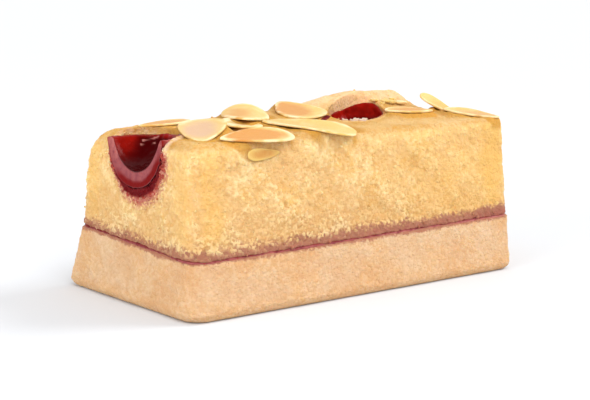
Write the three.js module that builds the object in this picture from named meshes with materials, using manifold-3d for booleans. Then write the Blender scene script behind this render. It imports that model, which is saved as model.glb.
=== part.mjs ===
import * as THREE from 'three';
import { mergeVertices } from 'three/addons/utils/BufferGeometryUtils.js';
import Module from 'manifold-3d';

// A slice of raspberry almond traybake: a shortbread base, a thin layer of jam, an almond
// sponge with two pockets of jam, and flaked almonds on its top. Millimetres, +Z up. The
// origin is the middle of the underside, +X runs along the slice towards its plain end, and
// -Y faces the long front side. The end at -X is cut through the first pocket of jam.

const wasm = await Module();
wasm.setup();

// Outer sizes of the slice.
const LENGTH = 89.6;
const WIDTH = 48.4;
const HEIGHT = 34.3;

// How far each side lies inside the widest outline: at the foot, at the jam layer and at the
// top.
const LEAN = {
  left: { foot: 0, jam: 1.7, top: 2.9 },
  right: { foot: 0.9, jam: 0, top: 0 },
  front: { foot: 0, jam: 2.2, top: 4.3 },
  back: { foot: 0, jam: 2.4, top: 4.4 },
};

// Rounding of the four upright edges, of the base's lower edge and of the sponge's upper edge.
const UPRIGHT_ROUND = { cutFront: 4, cutBack: 2.2, plainFront: 3, plainBack: 3.5 };
const LOWER_ROUND = 1.8;
const UPPER_ROUND = { cut: 3.6, plain: 2.2 };

// The jam layer: its middle height at the centre of the slice, its slopes and its thickness.
const JAM_HEIGHT = 12.8;
const JAM_SLOPE_X = 0.0091;
const JAM_SLOPE_Y = 0.0426;
const JAM_THICKNESS = 0.8;
const LAYER_GAP = 0.1;
const SPONGE_STEP = 0.25;
const JAM_RECESS = 0.2;

// Free space kept between a pocket and its jam, and under each almond.
const FIT_GAP = 0.3;

// The top of the sponge: a low dome, a lower rise beside the top pocket, and a browned swelling
// behind it, which falls away more gently towards the front.
const DOME = { x: -5, y: 6, height: 2, reachX: 25, reachY: 13 };
const SHOULDER = { x: 27, y: -1, height: 0.9, reach: 6 };
const SWELLING = {
  y: 15, height: 4.7, reachFront: 8, reachBack: 5.4, from: -8, full: 27, fallFrom: 37, to: 44.5,
};

// The first pocket lies on the cut end, the second one in the top, turned by so many degrees.
// Radii are at the level of the top, depths below it. A lip widens the pocket over its uppermost few millimetres.
const END_POCKET = {
  x: -41.9, y: 0.6, turn: 45, radiusX: 12, radiusY: 8.7, depth: 10.6, fullness: 2.1,
  lip: { near: 0.4, far: 2, reach: 3.6, curve: 1.2 },
};
const END_SCOOP = {
  x: -41.9, y: 0.2, turn: 45, radiusX: 9.65, radiusY: 7, depth: 7.2, fullness: 1.9,
  lip: { near: 1.9, far: 1.4, reach: 3.6, curve: 1.2 },
};
const END_JAM_LEVEL = -0.9;
const TOP_POCKET = {
  x: 17.7, y: 1.4, turn: -54.8, radiusX: 6, radiusY: 10.4, depth: 6.4, fullness: 2.5,
  lip: { near: 0.9, far: 0.5, reach: 3, curve: 1.6 },
};
const TOP_SCOOP = {
  x: 17.1, y: 0.9, turn: -54.8, radiusX: 6, radiusY: 10.2, depth: 3.4, fullness: 2,
  lip: { near: 1.4, far: 0.2, reach: 3, curve: 1 },
};
const TOP_JAM_LEVEL = 2.3;
const POCKET_RISE = 6;
const POCKET_STEPS = 9;
const POCKET_SECTORS = 30;
const LIP_POWER = 4;

// Low waves on the cut faces: direction, start and share of each wave.
const WAVES = [
  { x: 0.23, y: 0.27, z: 0.35, start: 1.3, share: 0.45 },
  { x: -0.41, y: 0.36, z: 0.22, start: 0.4, share: 0.3 },
  { x: 0.71, y: -0.58, z: 0.77, start: 2.6, share: 0.25 },
];
const SPONGE_WAVE = 0.35;
const BASE_WAVE = 0.25;

// Cells along, across and up each layer, and how much closer they lie towards the edges.
const SPONGE_CELLS = [40, 20, 6];
const BASE_CELLS = [26, 14, 6];
const JAM_CELLS = [26, 14, 1];
const EDGE_CROWDING = 0.5;
const BASE_CROWDING = 1.7;

// One flaked almond: thickness, how pointed its tip is, how flat its faces are and how its
// mesh is divided and spread.
const FLAKE = { thickness: 0.9, point: 0.42, flatness: 0.4, sectors: 20, rings: 6, spread: 0.5 };
const SETTLE_STEP = 0.5;

// The almonds in the order in which they fall: length and width, the middle, the turn about
// the upright axis, the roll about the long axis and the pitch, in degrees, and how high the
// ends and the long sides bend up.
const ALMONDS = [
  { size: [11.3, 8], at: [-27.5, 11.4], turn: 165, roll: 1.5, pitch: 4, ends: 0.1, sides: 0.1 },
  { size: [15.6, 7.4], at: [-24.4, -17.7], turn: 167, roll: -14, pitch: 0, ends: -0.2, sides: 0.2 },
  { size: [20.5, 10], at: [-7.5, -12.8], turn: 124, roll: -3, pitch: -6, ends: -0.4, sides: 0.5 },
  { size: [18, 9.3], at: [-30.2, -6.9], turn: -125, roll: 4, pitch: 8, ends: 0.3, sides: 0.5 },
  { size: [16, 9.6], at: [-13.9, 0.6], turn: -126, roll: -4, pitch: 6, ends: 0.2, sides: -1.2 },
  { size: [16, 9.8], at: [2.1, 3.3], turn: 81, roll: -4, pitch: -8, ends: 0.2, sides: 0.2 },
  { size: [11, 7], at: [28.4, -4.5], turn: -42, roll: 2, pitch: 0, ends: 0.2, sides: 0.3 },
  { size: [14.2, 7.2], at: [40.6, -12.6], turn: -76, roll: 0, pitch: 5, ends: 0.3, sides: 0.3 },
  { size: [9.4, 6], at: [39.7, -2], turn: -38, roll: 14, pitch: 26, ends: 0.3, sides: 0.4 },
];

// Vertices this near to each other are one. TINY stands for zero under a division.
const WELD = 1e-4;
const TINY = 1e-6;

const MATERIALS = {
  shortbread: new THREE.MeshStandardMaterial({ color: 0xe9c190, roughness: 0.85, metalness: 0 }),
  sponge: new THREE.MeshStandardMaterial({ color: 0xf0c878, roughness: 0.8, metalness: 0 }),
  jam: new THREE.MeshStandardMaterial({ color: 0x6b0a10, roughness: 0.15, metalness: 0 }),
  almond: new THREE.MeshStandardMaterial({ color: 0xf0d4a0, roughness: 0.5, metalness: 0 }),
};

// Merges the doubled vertices of a geometry, so that only one closed skin is left.
function welded(geometry) {
  geometry.deleteAttribute('normal');
  geometry.deleteAttribute('uv');
  return mergeVertices(geometry, WELD);
}

// Moves every vertex of a geometry to the place that shape gives for it.
function reshaped(geometry, shape) {
  const skin = welded(geometry);
  const position = skin.getAttribute('position');
  for (let i = 0; i < position.count; i += 1) {
    position.setXYZ(i, ...shape(position.getX(i), position.getY(i), position.getZ(i)));
  }
  return skin;
}

function mix(a, b, share) {
  return a + (b - a) * share;
}

// A step from 0 at low to 1 at high with level ends.
function rise(value, low, high) {
  return THREE.MathUtils.smoothstep(value, low, high);
}

// Low unevenness between 0 and 1 at a point.
function wave(x, y, z) {
  let sum = 0;
  for (const { x: kx, y: ky, z: kz, start, share } of WAVES) {
    sum += share * (0.5 + 0.5 * Math.sin(kx * x + ky * y + kz * z + start));
  }
  return sum;
}

// Spreads -1..1 over itself, closer together near both ends.
function crowded(share) {
  return mix(share, Math.sin(share * Math.PI / 2), EDGE_CROWDING);
}

// The rounding of the upright edge nearest to a point of the plan.
function uprightRound(x, y) {
  const { cutFront, cutBack, plainFront, plainBack } = UPRIGHT_ROUND;
  if (x < 0) {
    return y < 0 ? cutFront : cutBack;
  }
  return y < 0 ? plainFront : plainBack;
}

// The plan of the slice: a square of -1..1 laid on a rectangle with round corners.
function planPoint(s, t) {
  const x = crowded(s) * LENGTH / 2;
  const y = crowded(t) * WIDTH / 2;
  const round = uprightRound(x, y);
  const cornerX = LENGTH / 2 - round;
  const cornerY = WIDTH / 2 - round;
  const overX = Math.abs(x) - cornerX;
  const overY = Math.abs(y) - cornerY;
  if (overX <= 0 || overY <= 0) {
    return [x, y];
  }
  const pull = Math.max(overX, overY) / Math.hypot(overX, overY);
  return [Math.sign(x) * (cornerX + overX * pull), Math.sign(y) * (cornerY + overY * pull)];
}

// How far a point of the plan lies inside the round-cornered outline.
function edgeDistance(x, y) {
  const round = uprightRound(x, y);
  const overX = Math.abs(x) - (LENGTH / 2 - round);
  const overY = Math.abs(y) - (WIDTH / 2 - round);
  const outside = Math.hypot(Math.max(overX, 0), Math.max(overY, 0));
  return round - outside - Math.min(Math.max(overX, overY), 0);
}

// The rounding of the sponge's upper edge, tighter towards the plain end.
function upperRound(x) {
  return mix(UPPER_ROUND.cut, UPPER_ROUND.plain, rise(x, 0, LENGTH / 2));
}

// How far a circular rounding falls away at a distance from its edge.
function roundFall(distance, radius) {
  const over = radius - Math.min(Math.max(distance, 0), radius);
  return radius - Math.sqrt(radius * radius - over * over);
}

// The lean of one side at a height: two straight stretches that meet at the jam layer.
function leanAt(side, z) {
  if (z < JAM_HEIGHT) {
    return mix(side.foot, side.jam, Math.max(z - LOWER_ROUND, 0) / (JAM_HEIGHT - LOWER_ROUND));
  }
  return mix(side.jam, side.top, (z - JAM_HEIGHT) / (HEIGHT - JAM_HEIGHT));
}

// Draws a point of the plan in by the lean of the sides at its height, and by extra.
function leaned(x, y, z, extra) {
  const left = leanAt(LEAN.left, z) + extra;
  const right = leanAt(LEAN.right, z) + extra;
  const front = leanAt(LEAN.front, z) + extra;
  const back = leanAt(LEAN.back, z) + extra;
  return [
    x * (1 - (left + right) / LENGTH) + (left - right) / 2,
    y * (1 - (front + back) / WIDTH) + (front - back) / 2,
  ];
}

function jamMiddle(x, y) {
  return JAM_HEIGHT + JAM_SLOPE_X * x + JAM_SLOPE_Y * y;
}

// How far the top of the sponge swells above its even height.
function swell(x, y) {
  const domeX = (x - DOME.x) / DOME.reachX;
  const domeY = (y - DOME.y) / DOME.reachY;
  const dome = DOME.height * Math.exp(-domeX * domeX - domeY * domeY);
  const aside = ((x - SHOULDER.x) ** 2 + (y - SHOULDER.y) ** 2) / SHOULDER.reach ** 2;
  const shoulder = SHOULDER.height * Math.exp(-aside);
  const reach = y < SWELLING.y ? SWELLING.reachFront : SWELLING.reachBack;
  const across = (y - SWELLING.y) / reach;
  const along = rise(x, SWELLING.from, SWELLING.full) * (1 - rise(x, SWELLING.fallFrom, SWELLING.to));
  return dome + shoulder + SWELLING.height * along * Math.exp(-across * across);
}

// The base: its lower edge is rounded, its top follows the jam layer.
function baseSolid() {
  const top = (x, y) => jamMiddle(x, y) - JAM_THICKNESS / 2 - LAYER_GAP;
  return reshaped(new THREE.BoxGeometry(2, 2, 1, ...BASE_CELLS), (s, t, w) => {
    const [x, y] = planPoint(s, t);
    const z = top(x, y) * (w + 0.5) ** BASE_CROWDING;
    const uneven = BASE_WAVE * wave(x, y, z) * rise(z, 0, LOWER_ROUND);
    return [...leaned(x, y, z, roundFall(z, LOWER_ROUND) + uneven), z];
  });
}

// The jam layer runs right through, a little short of the faces.
function jamLayerSolid() {
  return reshaped(new THREE.BoxGeometry(2, 2, 1, ...JAM_CELLS), (s, t, w) => {
    const [x, y] = planPoint(s, t);
    const z = jamMiddle(x, y) + w * JAM_THICKNESS;
    return [...leaned(x, y, z, SPONGE_STEP + JAM_RECESS), z];
  });
}

// The whole sponge before its pockets are cut: rounded above, even below.
function spongeBlock() {
  const floor = (x, y) => jamMiddle(x, y) + JAM_THICKNESS / 2 + LAYER_GAP;
  return reshaped(new THREE.BoxGeometry(2, 2, 1, ...SPONGE_CELLS), (s, t, w) => {
    const [x, y] = planPoint(s, t);
    const distance = edgeDistance(x, y);
    const top = HEIGHT + swell(x, y) - roundFall(distance, upperRound(x));
    const z = mix(floor(x, y), top, w + 0.5);
    const uneven = SPONGE_WAVE * wave(x, y, z);
    const inside = rise(distance, 0, upperRound(x));
    const sink = w === 0.5 ? uneven * inside : 0;
    return [...leaned(x, y, z, SPONGE_STEP + uneven * (1 - inside)), z - sink];
  });
}

// The radius of a bowl's wall at a height; above the level of the top it stands upright.
function wallRadius(radius, depth, fullness, height) {
  const down = Math.min(Math.max(-height / depth, 0), 1);
  return radius * (1 - down ** fullness) ** (1 / fullness);
}

// A bowl closed by a level disc at height rim, both measured from the level of the top. Its
// lip is widest at its front and back before its turn. Shrink makes it smaller all round.
function bowl(pocket, rim, shrink) {
  const radius = pocket.radiusY - shrink;
  const depth = pocket.depth - shrink;
  const profile = [];
  for (let i = 0; i <= POCKET_STEPS; i += 1) {
    const share = Math.cos(i / POCKET_STEPS * Math.PI / 2) ** (2 / pocket.fullness);
    const height = mix(rim, -depth, share);
    profile.push(new THREE.Vector2(wallRadius(radius, depth, pocket.fullness, height), height));
  }
  profile.push(new THREE.Vector2(0, rim));
  const lathe = new THREE.LatheGeometry(profile, POCKET_SECTORS).rotateX(Math.PI / 2);
  const stretch = (pocket.radiusX - shrink) / radius;
  const turn = THREE.MathUtils.degToRad(pocket.turn);
  return reshaped(lathe, (x, y, z) => {
    const side = y / Math.max(Math.hypot(x, y), TINY);
    const lip = (side < 0 ? pocket.lip.near : pocket.lip.far) * side ** LIP_POWER;
    const reach = Math.max(z / pocket.lip.reach + 1, 0) ** pocket.lip.curve;
    const wider = 1 + lip * reach / radius;
    const along = x * stretch * wider;
    const across = y * wider;
    return [
      pocket.x + along * Math.cos(turn) - across * Math.sin(turn),
      pocket.y + along * Math.sin(turn) + across * Math.cos(turn), HEIGHT + z,
    ];
  });
}

function solid(geometry) {
  const vertProperties = new Float32Array(geometry.getAttribute('position').array);
  const triVerts = new Uint32Array(geometry.getIndex().array);
  return new wasm.Manifold(new wasm.Mesh({ numProp: 3, vertProperties, triVerts }));
}

function skinOf(shape) {
  const { vertProperties, triVerts } = shape.getMesh();
  const geometry = new THREE.BufferGeometry();
  geometry.setAttribute('position', new THREE.BufferAttribute(vertProperties, 3));
  geometry.setIndex(new THREE.BufferAttribute(triVerts, 1));
  return geometry;
}

// One flaked almond, lying flat about its own middle with its tip towards +X: a ball pressed
// to a slab of even thickness, pointed at one end and bent up at its ends and long sides.
function flakeGeometry({ size: [length, width], ends, sides }) {
  const ball = new THREE.SphereGeometry(1, FLAKE.sectors, FLAKE.rings).rotateX(Math.PI / 2);
  return reshaped(ball, (x, y, z) => {
    const spread = 1 / Math.max(Math.hypot(x, y), TINY) ** FLAKE.spread;
    const along = x * spread;
    const across = y * spread * (1 - FLAKE.point * along);
    const half = Math.sign(z) * Math.abs(z) ** FLAKE.flatness * FLAKE.thickness / 2;
    const bend = ends * along * along + sides * across * across;
    return [along * length / 2, across * width / 2, half + bend];
  });
}

// The triangles of a mesh, each as its three corners in world places.
function trianglesOf(mesh) {
  mesh.updateMatrixWorld(true);
  const position = mesh.geometry.getAttribute('position');
  const index = mesh.geometry.getIndex();
  const triangles = [];
  for (let i = 0; i < index.count; i += 3) {
    const corners = [0, 1, 2].map((k) => new THREE.Vector3()
      .fromBufferAttribute(position, index.getX(i + k)).applyMatrix4(mesh.matrixWorld));
    triangles.push(corners);
  }
  return triangles;
}

// The lowest and highest place where an upright line through x, y meets the triangles.
function crossing(triangles, x, y) {
  let low = Infinity;
  let high = -Infinity;
  for (const [a, b, c] of triangles) {
    const area = (b.x - a.x) * (c.y - a.y) - (b.y - a.y) * (c.x - a.x);
    if (Math.abs(area) < TINY) {
      continue;
    }
    const shareB = ((x - a.x) * (c.y - a.y) - (y - a.y) * (c.x - a.x)) / area;
    const shareC = ((b.x - a.x) * (y - a.y) - (b.y - a.y) * (x - a.x)) / area;
    if (shareB >= 0 && shareC >= 0 && shareB + shareC <= 1) {
      const height = a.z + shareB * (b.z - a.z) + shareC * (c.z - a.z);
      low = Math.min(low, height);
      high = Math.max(high, height);
    }
  }
  return { low, high };
}

// Lowers a mesh until it lies one fit gap above whatever is under it.
function settle(mesh, ground) {
  const own = trianglesOf(mesh);
  const box = new THREE.Box3().setFromPoints(own.flat());
  let drop = Infinity;
  for (let x = box.min.x; x <= box.max.x; x += SETTLE_STEP) {
    for (let y = box.min.y; y <= box.max.y; y += SETTLE_STEP) {
      const { low } = crossing(own, x, y);
      if (low < Infinity) {
        drop = Math.min(drop, low - crossing(ground, x, y).high);
      }
    }
  }
  mesh.position.z -= drop - FIT_GAP;
  mesh.updateMatrixWorld(true);
}

function named(name, geometry, material) {
  geometry.computeVertexNormals();
  const mesh = new THREE.Mesh(geometry, material);
  mesh.name = name;
  return mesh;
}

const traybake = new THREE.Group();
traybake.add(named('shortbread_base', baseSolid(), MATERIALS.shortbread));
traybake.add(named('jam_layer', jamLayerSolid(), MATERIALS.jam));

const block = solid(spongeBlock());
const sponge = block
  .subtract(solid(bowl(END_POCKET, POCKET_RISE, 0)))
  .subtract(solid(bowl(TOP_POCKET, POCKET_RISE, 0)));
const endJam = block
  .intersect(solid(bowl(END_POCKET, END_JAM_LEVEL, FIT_GAP)))
  .subtract(solid(bowl(END_SCOOP, POCKET_RISE, 0)));
const topJam = block
  .intersect(solid(bowl(TOP_POCKET, TOP_JAM_LEVEL, FIT_GAP)))
  .subtract(solid(bowl(TOP_SCOOP, POCKET_RISE, 0)));

const bed = [
  named('almond_sponge', skinOf(sponge), MATERIALS.sponge),
  named('jam_pool_end', skinOf(endJam), MATERIALS.jam),
  named('jam_pool_top', skinOf(topJam), MATERIALS.jam),
];
traybake.add(...bed);

const ground = bed.flatMap(trianglesOf);
ALMONDS.forEach((almond, i) => {
  const name = `almond_flake_${String(i + 1).padStart(2, '0')}`;
  const flake = named(name, flakeGeometry(almond), MATERIALS.almond);
  const radians = THREE.MathUtils.degToRad;
  flake.rotation.set(radians(almond.roll), radians(almond.pitch), radians(almond.turn), 'ZYX');
  flake.position.set(...almond.at, 2 * HEIGHT);
  settle(flake, ground);
  ground.push(...trianglesOf(flake));
  traybake.add(flake);
});

export default traybake;
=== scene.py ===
"""A slice of raspberry almond traybake: its crumb, crust, jam and flaked almonds, built over
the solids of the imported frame. Shapes are worked out in millimetres and stored in metres."""

import itertools
import math
from types import SimpleNamespace

import bmesh
import bpy
import numpy as np
from bpy.props import FloatProperty, FloatVectorProperty, IntProperty, PointerProperty
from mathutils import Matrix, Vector


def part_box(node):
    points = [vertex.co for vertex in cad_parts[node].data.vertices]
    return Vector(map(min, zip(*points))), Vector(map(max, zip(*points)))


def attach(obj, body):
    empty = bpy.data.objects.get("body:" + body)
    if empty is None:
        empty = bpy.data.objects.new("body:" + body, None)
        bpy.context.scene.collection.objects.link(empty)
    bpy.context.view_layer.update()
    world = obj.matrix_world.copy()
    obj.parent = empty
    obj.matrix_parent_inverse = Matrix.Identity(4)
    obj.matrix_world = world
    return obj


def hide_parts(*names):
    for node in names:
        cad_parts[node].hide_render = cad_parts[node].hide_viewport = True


bl_info = {
    "name": "Raspberry Almond Traybake",
    "version": (1, 0, 0),
    "blender": (4, 5, 0),
    "location": "3D View > Sidebar > Traybake",
    "description": "Builds the finished surfaces of a slice of raspberry almond traybake",
    "category": "Mesh",
}

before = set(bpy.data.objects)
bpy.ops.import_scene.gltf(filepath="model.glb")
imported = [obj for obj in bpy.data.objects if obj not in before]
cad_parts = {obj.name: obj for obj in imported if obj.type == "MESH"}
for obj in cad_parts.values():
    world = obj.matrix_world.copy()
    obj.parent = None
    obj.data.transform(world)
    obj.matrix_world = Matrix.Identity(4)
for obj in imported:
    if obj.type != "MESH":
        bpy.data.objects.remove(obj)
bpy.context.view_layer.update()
BODY = "root"
MM = 0.001

# Outer sizes of the slice in millimetres, the same as those of the solids.
LENGTH = 89.6
WIDTH = 48.4
HEIGHT = 34.3

# How far each side lies inside the widest outline: at the foot, at the jam and at the top.
LEAN = {
    "left": (0.0, 1.7, 2.9),
    "right": (0.9, 0.0, 0.0),
    "front": (0.0, 2.2, 4.3),
    "back": (0.0, 2.4, 4.4),
}
# The radii of the upright edges at the cut and at the plain end, of the base's lower and
# upper edge, and of the sponge's lower and upper one.
CUT_FRONT_ROUND = 4.0
CUT_BACK_ROUND = 2.2
PLAIN_FRONT_ROUND = 3.0
PLAIN_BACK_ROUND = 3.5
LOWER_ROUND = 1.8
BASE_TOP_ROUND = 0.35
SPONGE_FOOT_ROUND = 0.4
UPPER_ROUND_CUT = 3.6
UPPER_ROUND_PLAIN = 2.2
# How far the sponge's faces lie inside the base's, how softly its top turns into a pocket's
# wall, and how deep in from a face the lean of that face is felt.
SPONGE_STEP = 0.25
RIM_BLEND = 1.5
FACE_DEPTH = 3.0

# The jam layer's middle height at the centre of the slice and its slopes, half its thickness
# at the sides, its rows there, and the distance between its points.
JAM_HEIGHT = 12.8
JAM_SLOPE_X = 0.0091
JAM_SLOPE_Y = 0.0426
JAM_HALF = 0.5
JAM_ROWS = 9
JAM_SPACING = 0.35

# Low waves on the faces: direction, start and share of each, and their depth.
WAVES = (
    ((0.23, 0.27, 0.35), 1.3, 0.45),
    ((-0.41, 0.36, 0.22), 0.4, 0.3),
    ((0.71, -0.58, 0.77), 2.6, 0.25),
)
SPONGE_WAVE = 0.35
BASE_WAVE = 0.25

# The top of the sponge: a low dome, a lower rise beside the second pocket, and a browned
# swelling behind it, which falls away more gently towards the front.
DOME = {"x": -5.0, "y": 6.0, "height": 2.0, "reach_x": 25.0, "reach_y": 13.0}
SHOULDER = {"x": 27.0, "y": -1.0, "height": 0.9, "reach": 6.0}
SWELLING = {
    "y": 15.0, "height": 4.7, "reach_front": 8.0, "reach_back": 5.4, "rise": (-8.0, 27.0),
    "fall": (37.0, 44.5),
}

# The two pockets and the hollows in their jam. Turns are in degrees and depths are below the
# level of the top. A lip widens each one over its uppermost reach: by lip_near at its front,
# by lip_far behind, and hardly at its sides.
CUT_END_X = -LENGTH / 2 + LEAN["left"][2] + SPONGE_STEP
END_POCKET = {
    "x": CUT_END_X, "y": 0.6, "turn": 45.0, "radius_x": 12.0, "radius_y": 8.7, "depth": 10.6,
    "fullness": 2.1, "lip_near": 0.4, "lip_far": 2.0, "reach": 3.6, "curve": 1.2,
}
END_SCOOP = {
    "x": CUT_END_X, "y": 0.2, "turn": 45.0, "radius_x": 9.655, "radius_y": 7.0, "depth": 7.2,
    "fullness": 1.9, "lip_near": 1.9, "lip_far": 1.4, "reach": 3.6, "curve": 1.2,
}
TOP_POCKET = {
    "x": 17.7, "y": 1.4, "turn": -54.8, "radius_x": 6.0, "radius_y": 10.4, "depth": 6.4,
    "fullness": 2.5, "lip_near": 0.9, "lip_far": 0.5, "reach": 3.0, "curve": 1.6,
}
TOP_SCOOP = {
    "x": 17.1, "y": 0.9, "turn": -54.8, "radius_x": 6.0, "radius_y": 10.2, "depth": 3.4,
    "fullness": 2.0, "lip_near": 1.4, "lip_far": 0.2, "reach": 3.0, "curve": 1.0,
}
LIP_POWER = 4
# The share of a wall's rows below its lip, and the rounds that find the height of its rim.
CURVE_SHARE = 0.7
RIM_ROUNDS = 4

# The jam in a pocket: the lines across it for half a turn and for a whole one, the rows of
# its hollow and of its wall, of the ledge between them and of its cut face, how often its
# lines are smoothed, and how far it reaches into the crumb, in shares of the radius.
HALF_TURN_LINES = 121
WHOLE_TURN_LINES = 201
WALL_ROWS = 44
LEDGE_ROWS = 5
FACE_ROWS = 11
SMOOTHINGS = 10
POOL_SPREAD = 1.015

# How high the jam stands round each pocket's rim, above the level of the top: directions in
# degrees against the clock from its own right, and the height in each of them.
END_JAM_LEVEL = ((-126, -90, -54, 0, 54), (0.1, 0.2, -0.3, -0.9, -0.9))
TOP_JAM_LEVEL = (
    (0, 30, 50, 65, 80, 100, 120, 150, 180, 225, 270, 315, 360),
    (-0.5, -0.1, 0.8, 1.7, 2.3, 2.3, 1.8, 0.9, 0.3, -0.2, -0.6, -0.7, -0.5),
)

# The jam's stain in the cut end: directions in degrees about the middle of the pocket's top,
# where 0 is towards the back and -90 is down, and how far the pink and the dark stain reach.
STAIN_REACH = (
    (-178, -165, -151, -130, -95, -60, -34, -10), (1.0, 2.8, 4.6, 5.4, 4.6, 2.6, 1.4, 0.7),
)
DARK_REACH = ((-165, -145, -118, -85, -60, -45), (0.3, 1.4, 1.9, 1.8, 1.0, 0.2))

# Pale sugary places on the crust: x, y, and the radii where each starts and ends.
PALE_SPOTS = ((12.1, -5.7, 0.7, 1.9), (14.7, -4.9, 0.8, 2.2), (-19.6, -12.2, 1.0, 2.4))
# Soft tan patches on the front: x, y, z and radius of each.
TAN_PATCHES = (
    (15.3, -23.8, 26.4, 5.5), (9.9, -23.8, 22.4, 3.8), (2.3, -23.8, 19.9, 5.0),
    (-6.4, -23.8, 22.4, 4.4), (28.5, -23.8, 28.3, 3.4), (-12.7, -23.8, 19.0, 4.5),
)
# A slit in the crust between an almond and the second pocket, darkened as painted shade: its two
# ends.
SHADED_SLIT = ((2.6, -5.6), (5.4, -3.6))
# Thin painted highlight lines on the jam, each on a low ridge: the two ends of each.
GLINT_LINES = (
    ((-36.25, 6.87, 31.5), (-34.24, 4.63, 31.88)), ((-35.65, 7.03, 32.28), (-34.0, 5.17, 32.85)),
    ((-34.0, 5.17, 32.85), (-33.54, 4.35, 33.21)),
)
# Dull places on the jam, which take the cut jam's pale colour as painted sheen: x, y, and
# the radii where each starts and ends.
DULL_SHEEN_SPOTS = ((-30.8, 0.6, 0.8, 2.6), (-38.5, -7.8, 1.5, 4.0), (11.5, -1.5, 1.0, 3.4))

# Each flaked almond: length, width, x, y, turn, roll and pitch, how high its ends and sides
# bend, how far it sinks into the crust, and how toasted and how pink its inside is, with the
# middle of the toasted place as shares of its half length and width.
ALMONDS = (
    ((11.3, 8.0), (-27.5, 11.4), (165.0, 1.5, 4.0), (0.1, 0.1), 0.4, (1.2, 0.1, 0.0, 0.0)),
    ((15.6, 7.4), (-24.4, -17.7), (167.0, -14.0, 0.0), (-0.2, 0.2), 0.3, (2.4, 0.1, 0.1, 0.0)),
    ((20.5, 10.0), (-7.5, -12.8), (124.0, -3.0, -6.0), (-0.4, 0.5), 0.4, (0.25, 0.0, 0.4, 0.0)),
    ((18.0, 9.3), (-30.2, -6.9), (-125.0, 4.0, 8.0), (0.3, 0.5), 0.7, (0.05, 1.1, -0.1, -0.1)),
    ((16.0, 9.6), (-13.9, 0.6), (-126.0, -4.0, 6.0), (0.2, -1.2), 0.3, (0.7, 0.0, 0.2, -0.45)),
    ((16.0, 9.8), (2.1, 3.3), (81.0, -4.0, -8.0), (0.2, 0.2), 0.4, (1.6, 0.0, 0.1, 0.3)),
    ((11.0, 7.0), (28.4, -4.5), (-42.0, 2.0, 0.0), (0.2, 0.3), 0.35, (0.9, 0.2, 0.0, 0.2)),
    ((14.2, 7.2), (40.6, -12.6), (-76.0, 0.0, 5.0), (0.3, 0.3), 0.3, (0.5, 0.4, 0.3, 0.0)),
    ((9.4, 6.0), (39.7, -2.0), (-38.0, 14.0, 26.0), (0.3, 0.4), 0.3, (0.3, 0.0, 0.3, 0.0)),
)
ALMOND_POINT = 0.42
ALMOND_THICKNESS = 0.65
# Rings, and points in each ring, of an almond that is shown and of one that is measured.
ALMOND_RINGS = (34, 120)
MEASURED_RINGS = (10, 40)
# How far to the left, to the front and down from each almond its strip of painted shadow lies.
SHADE_BAND_SHIFT = np.array([0.4, 1.5, 0.5])

# An almond sunk in the front: length and width, the place of its middle, its turns, its
# thickness, its rings, its seed, and its shades as in the list of almonds.
SUNKEN_SIZE = (8.2, 2.3)
SUNKEN_PLACE = (-24.6, -20.0, 31.3)
SUNKEN_TURN = (3.0, 79.0, 0.0)
SUNKEN_THICKNESS = 0.35
SUNKEN_RINGS = (20, 70)
SUNKEN_SEED = 11
SUNKEN_SHADES = (0.9, 0.0, 0.0, 0.0)

# Chips of almond beside the second pocket, and one tucked between two almonds: x, y, length,
# turn and thickness.
CHIPS = (
    (28.2, 7.0, 2.4, 20.0, 0.7), (31.2, 6.2, 3.4, -35.0, 0.7), (32.4, 5.6, 2.6, 30.0, 0.8),
    (34.9, 5.3, 2.8, -50.0, 0.6), (29.4, 5.9, 1.6, 80.0, 0.8), (33.4, 6.6, 1.8, 10.0, 0.7),
    (-18.8, -4.4, 9.4, -38.0, 0.6),
)
# Pale lumps at the near rim of the second pocket, given in the same way.
LUMPS = (
    (8.8, -5.4, 1.6, 15.0, 0.5), (10.2, -6.5, 2.2, 60.0, 0.6), (11.4, -6.1, 1.5, -30.0, 0.9),
    (12.7, -6.8, 2.0, 35.0, 0.6), (13.9, -6.1, 1.4, 0.0, 0.8), (12.0, -5.5, 1.1, 50.0, 0.9),
)
# Both kinds' width over their length, how far their ends and sides bend, their rings, the
# first one's seed, and their shades.
CHIP_WIDTH = 0.75
CHIP_BENDS = (0.1, 0.2)
CHIP_RINGS = (10, 30)
CHIP_SEED = 20
CHIP_SHADES = (0.2, 0.0, 0.0, 0.0)

# The smallest and the largest radius of a loose crumb.
CRUMB_SIZES = (0.15, 0.34)

# The noise in each piece's relief and colours: the size of its cells, its seed, and how many
# layers it has where that isn't three.
BASE_NOISE = {
    "coarse": (1.15, 11), "fine": (0.62, 17), "top": (1.5, 19), "slow": (5.0, 21),
    "rough": (1.6, 25), "cracks": (3.2, 31),
}
JAM_LAYER_NOISE = {
    "bulges": (2.4, 41), "lumps": (0.9, 47), "patches": (1.2, 57), "glints": (0.9, 58),
}
SPONGE_NOISE = {
    "floor": (1.3, 49), "coarse": (1.4, 51), "fine": (0.72, 57), "slow": (6.0, 61),
    "rough": (1.3, 65), "holes": (2.2, 71, 2), "pores": (1.9, 75), "lumps": (2.8, 81),
}
POOL_NOISE = {"slow": (3.4, 91), "seeds": (1.7, 95)}

# How deep each layer of relief is: in the base, in the sponge's cut crumb, in its crust and on
# its pockets' walls, in the jam layer's side and in the pockets' jam, and the height of the low
# ridge under a painted highlight line.
BASE_RELIEF = {"coarse": 0.16, "fine": 0.14, "slow": 0.16, "rough": 0.14, "cracks": 0.1}
CUT_RELIEF = {"coarse": 0.16, "fine": 0.28, "rough": 0.2, "slow": 0.1, "holes": 0.24}
CRUST_RELIEF = {"slow": 0.22, "rough": 0.2, "fine": 0.08, "pores": 0.14}
POCKET_RELIEF = {"lumps": 0.3, "coarse": 0.2, "rough": 0.14}
JAM_LAYER_RELIEF = {"bulges": 0.22, "lumps": 0.14}
POOL_RELIEF = {"slow": 0.22, "seeds": 0.12}
GLINT_RIDGE_HEIGHT = 0.12

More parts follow.
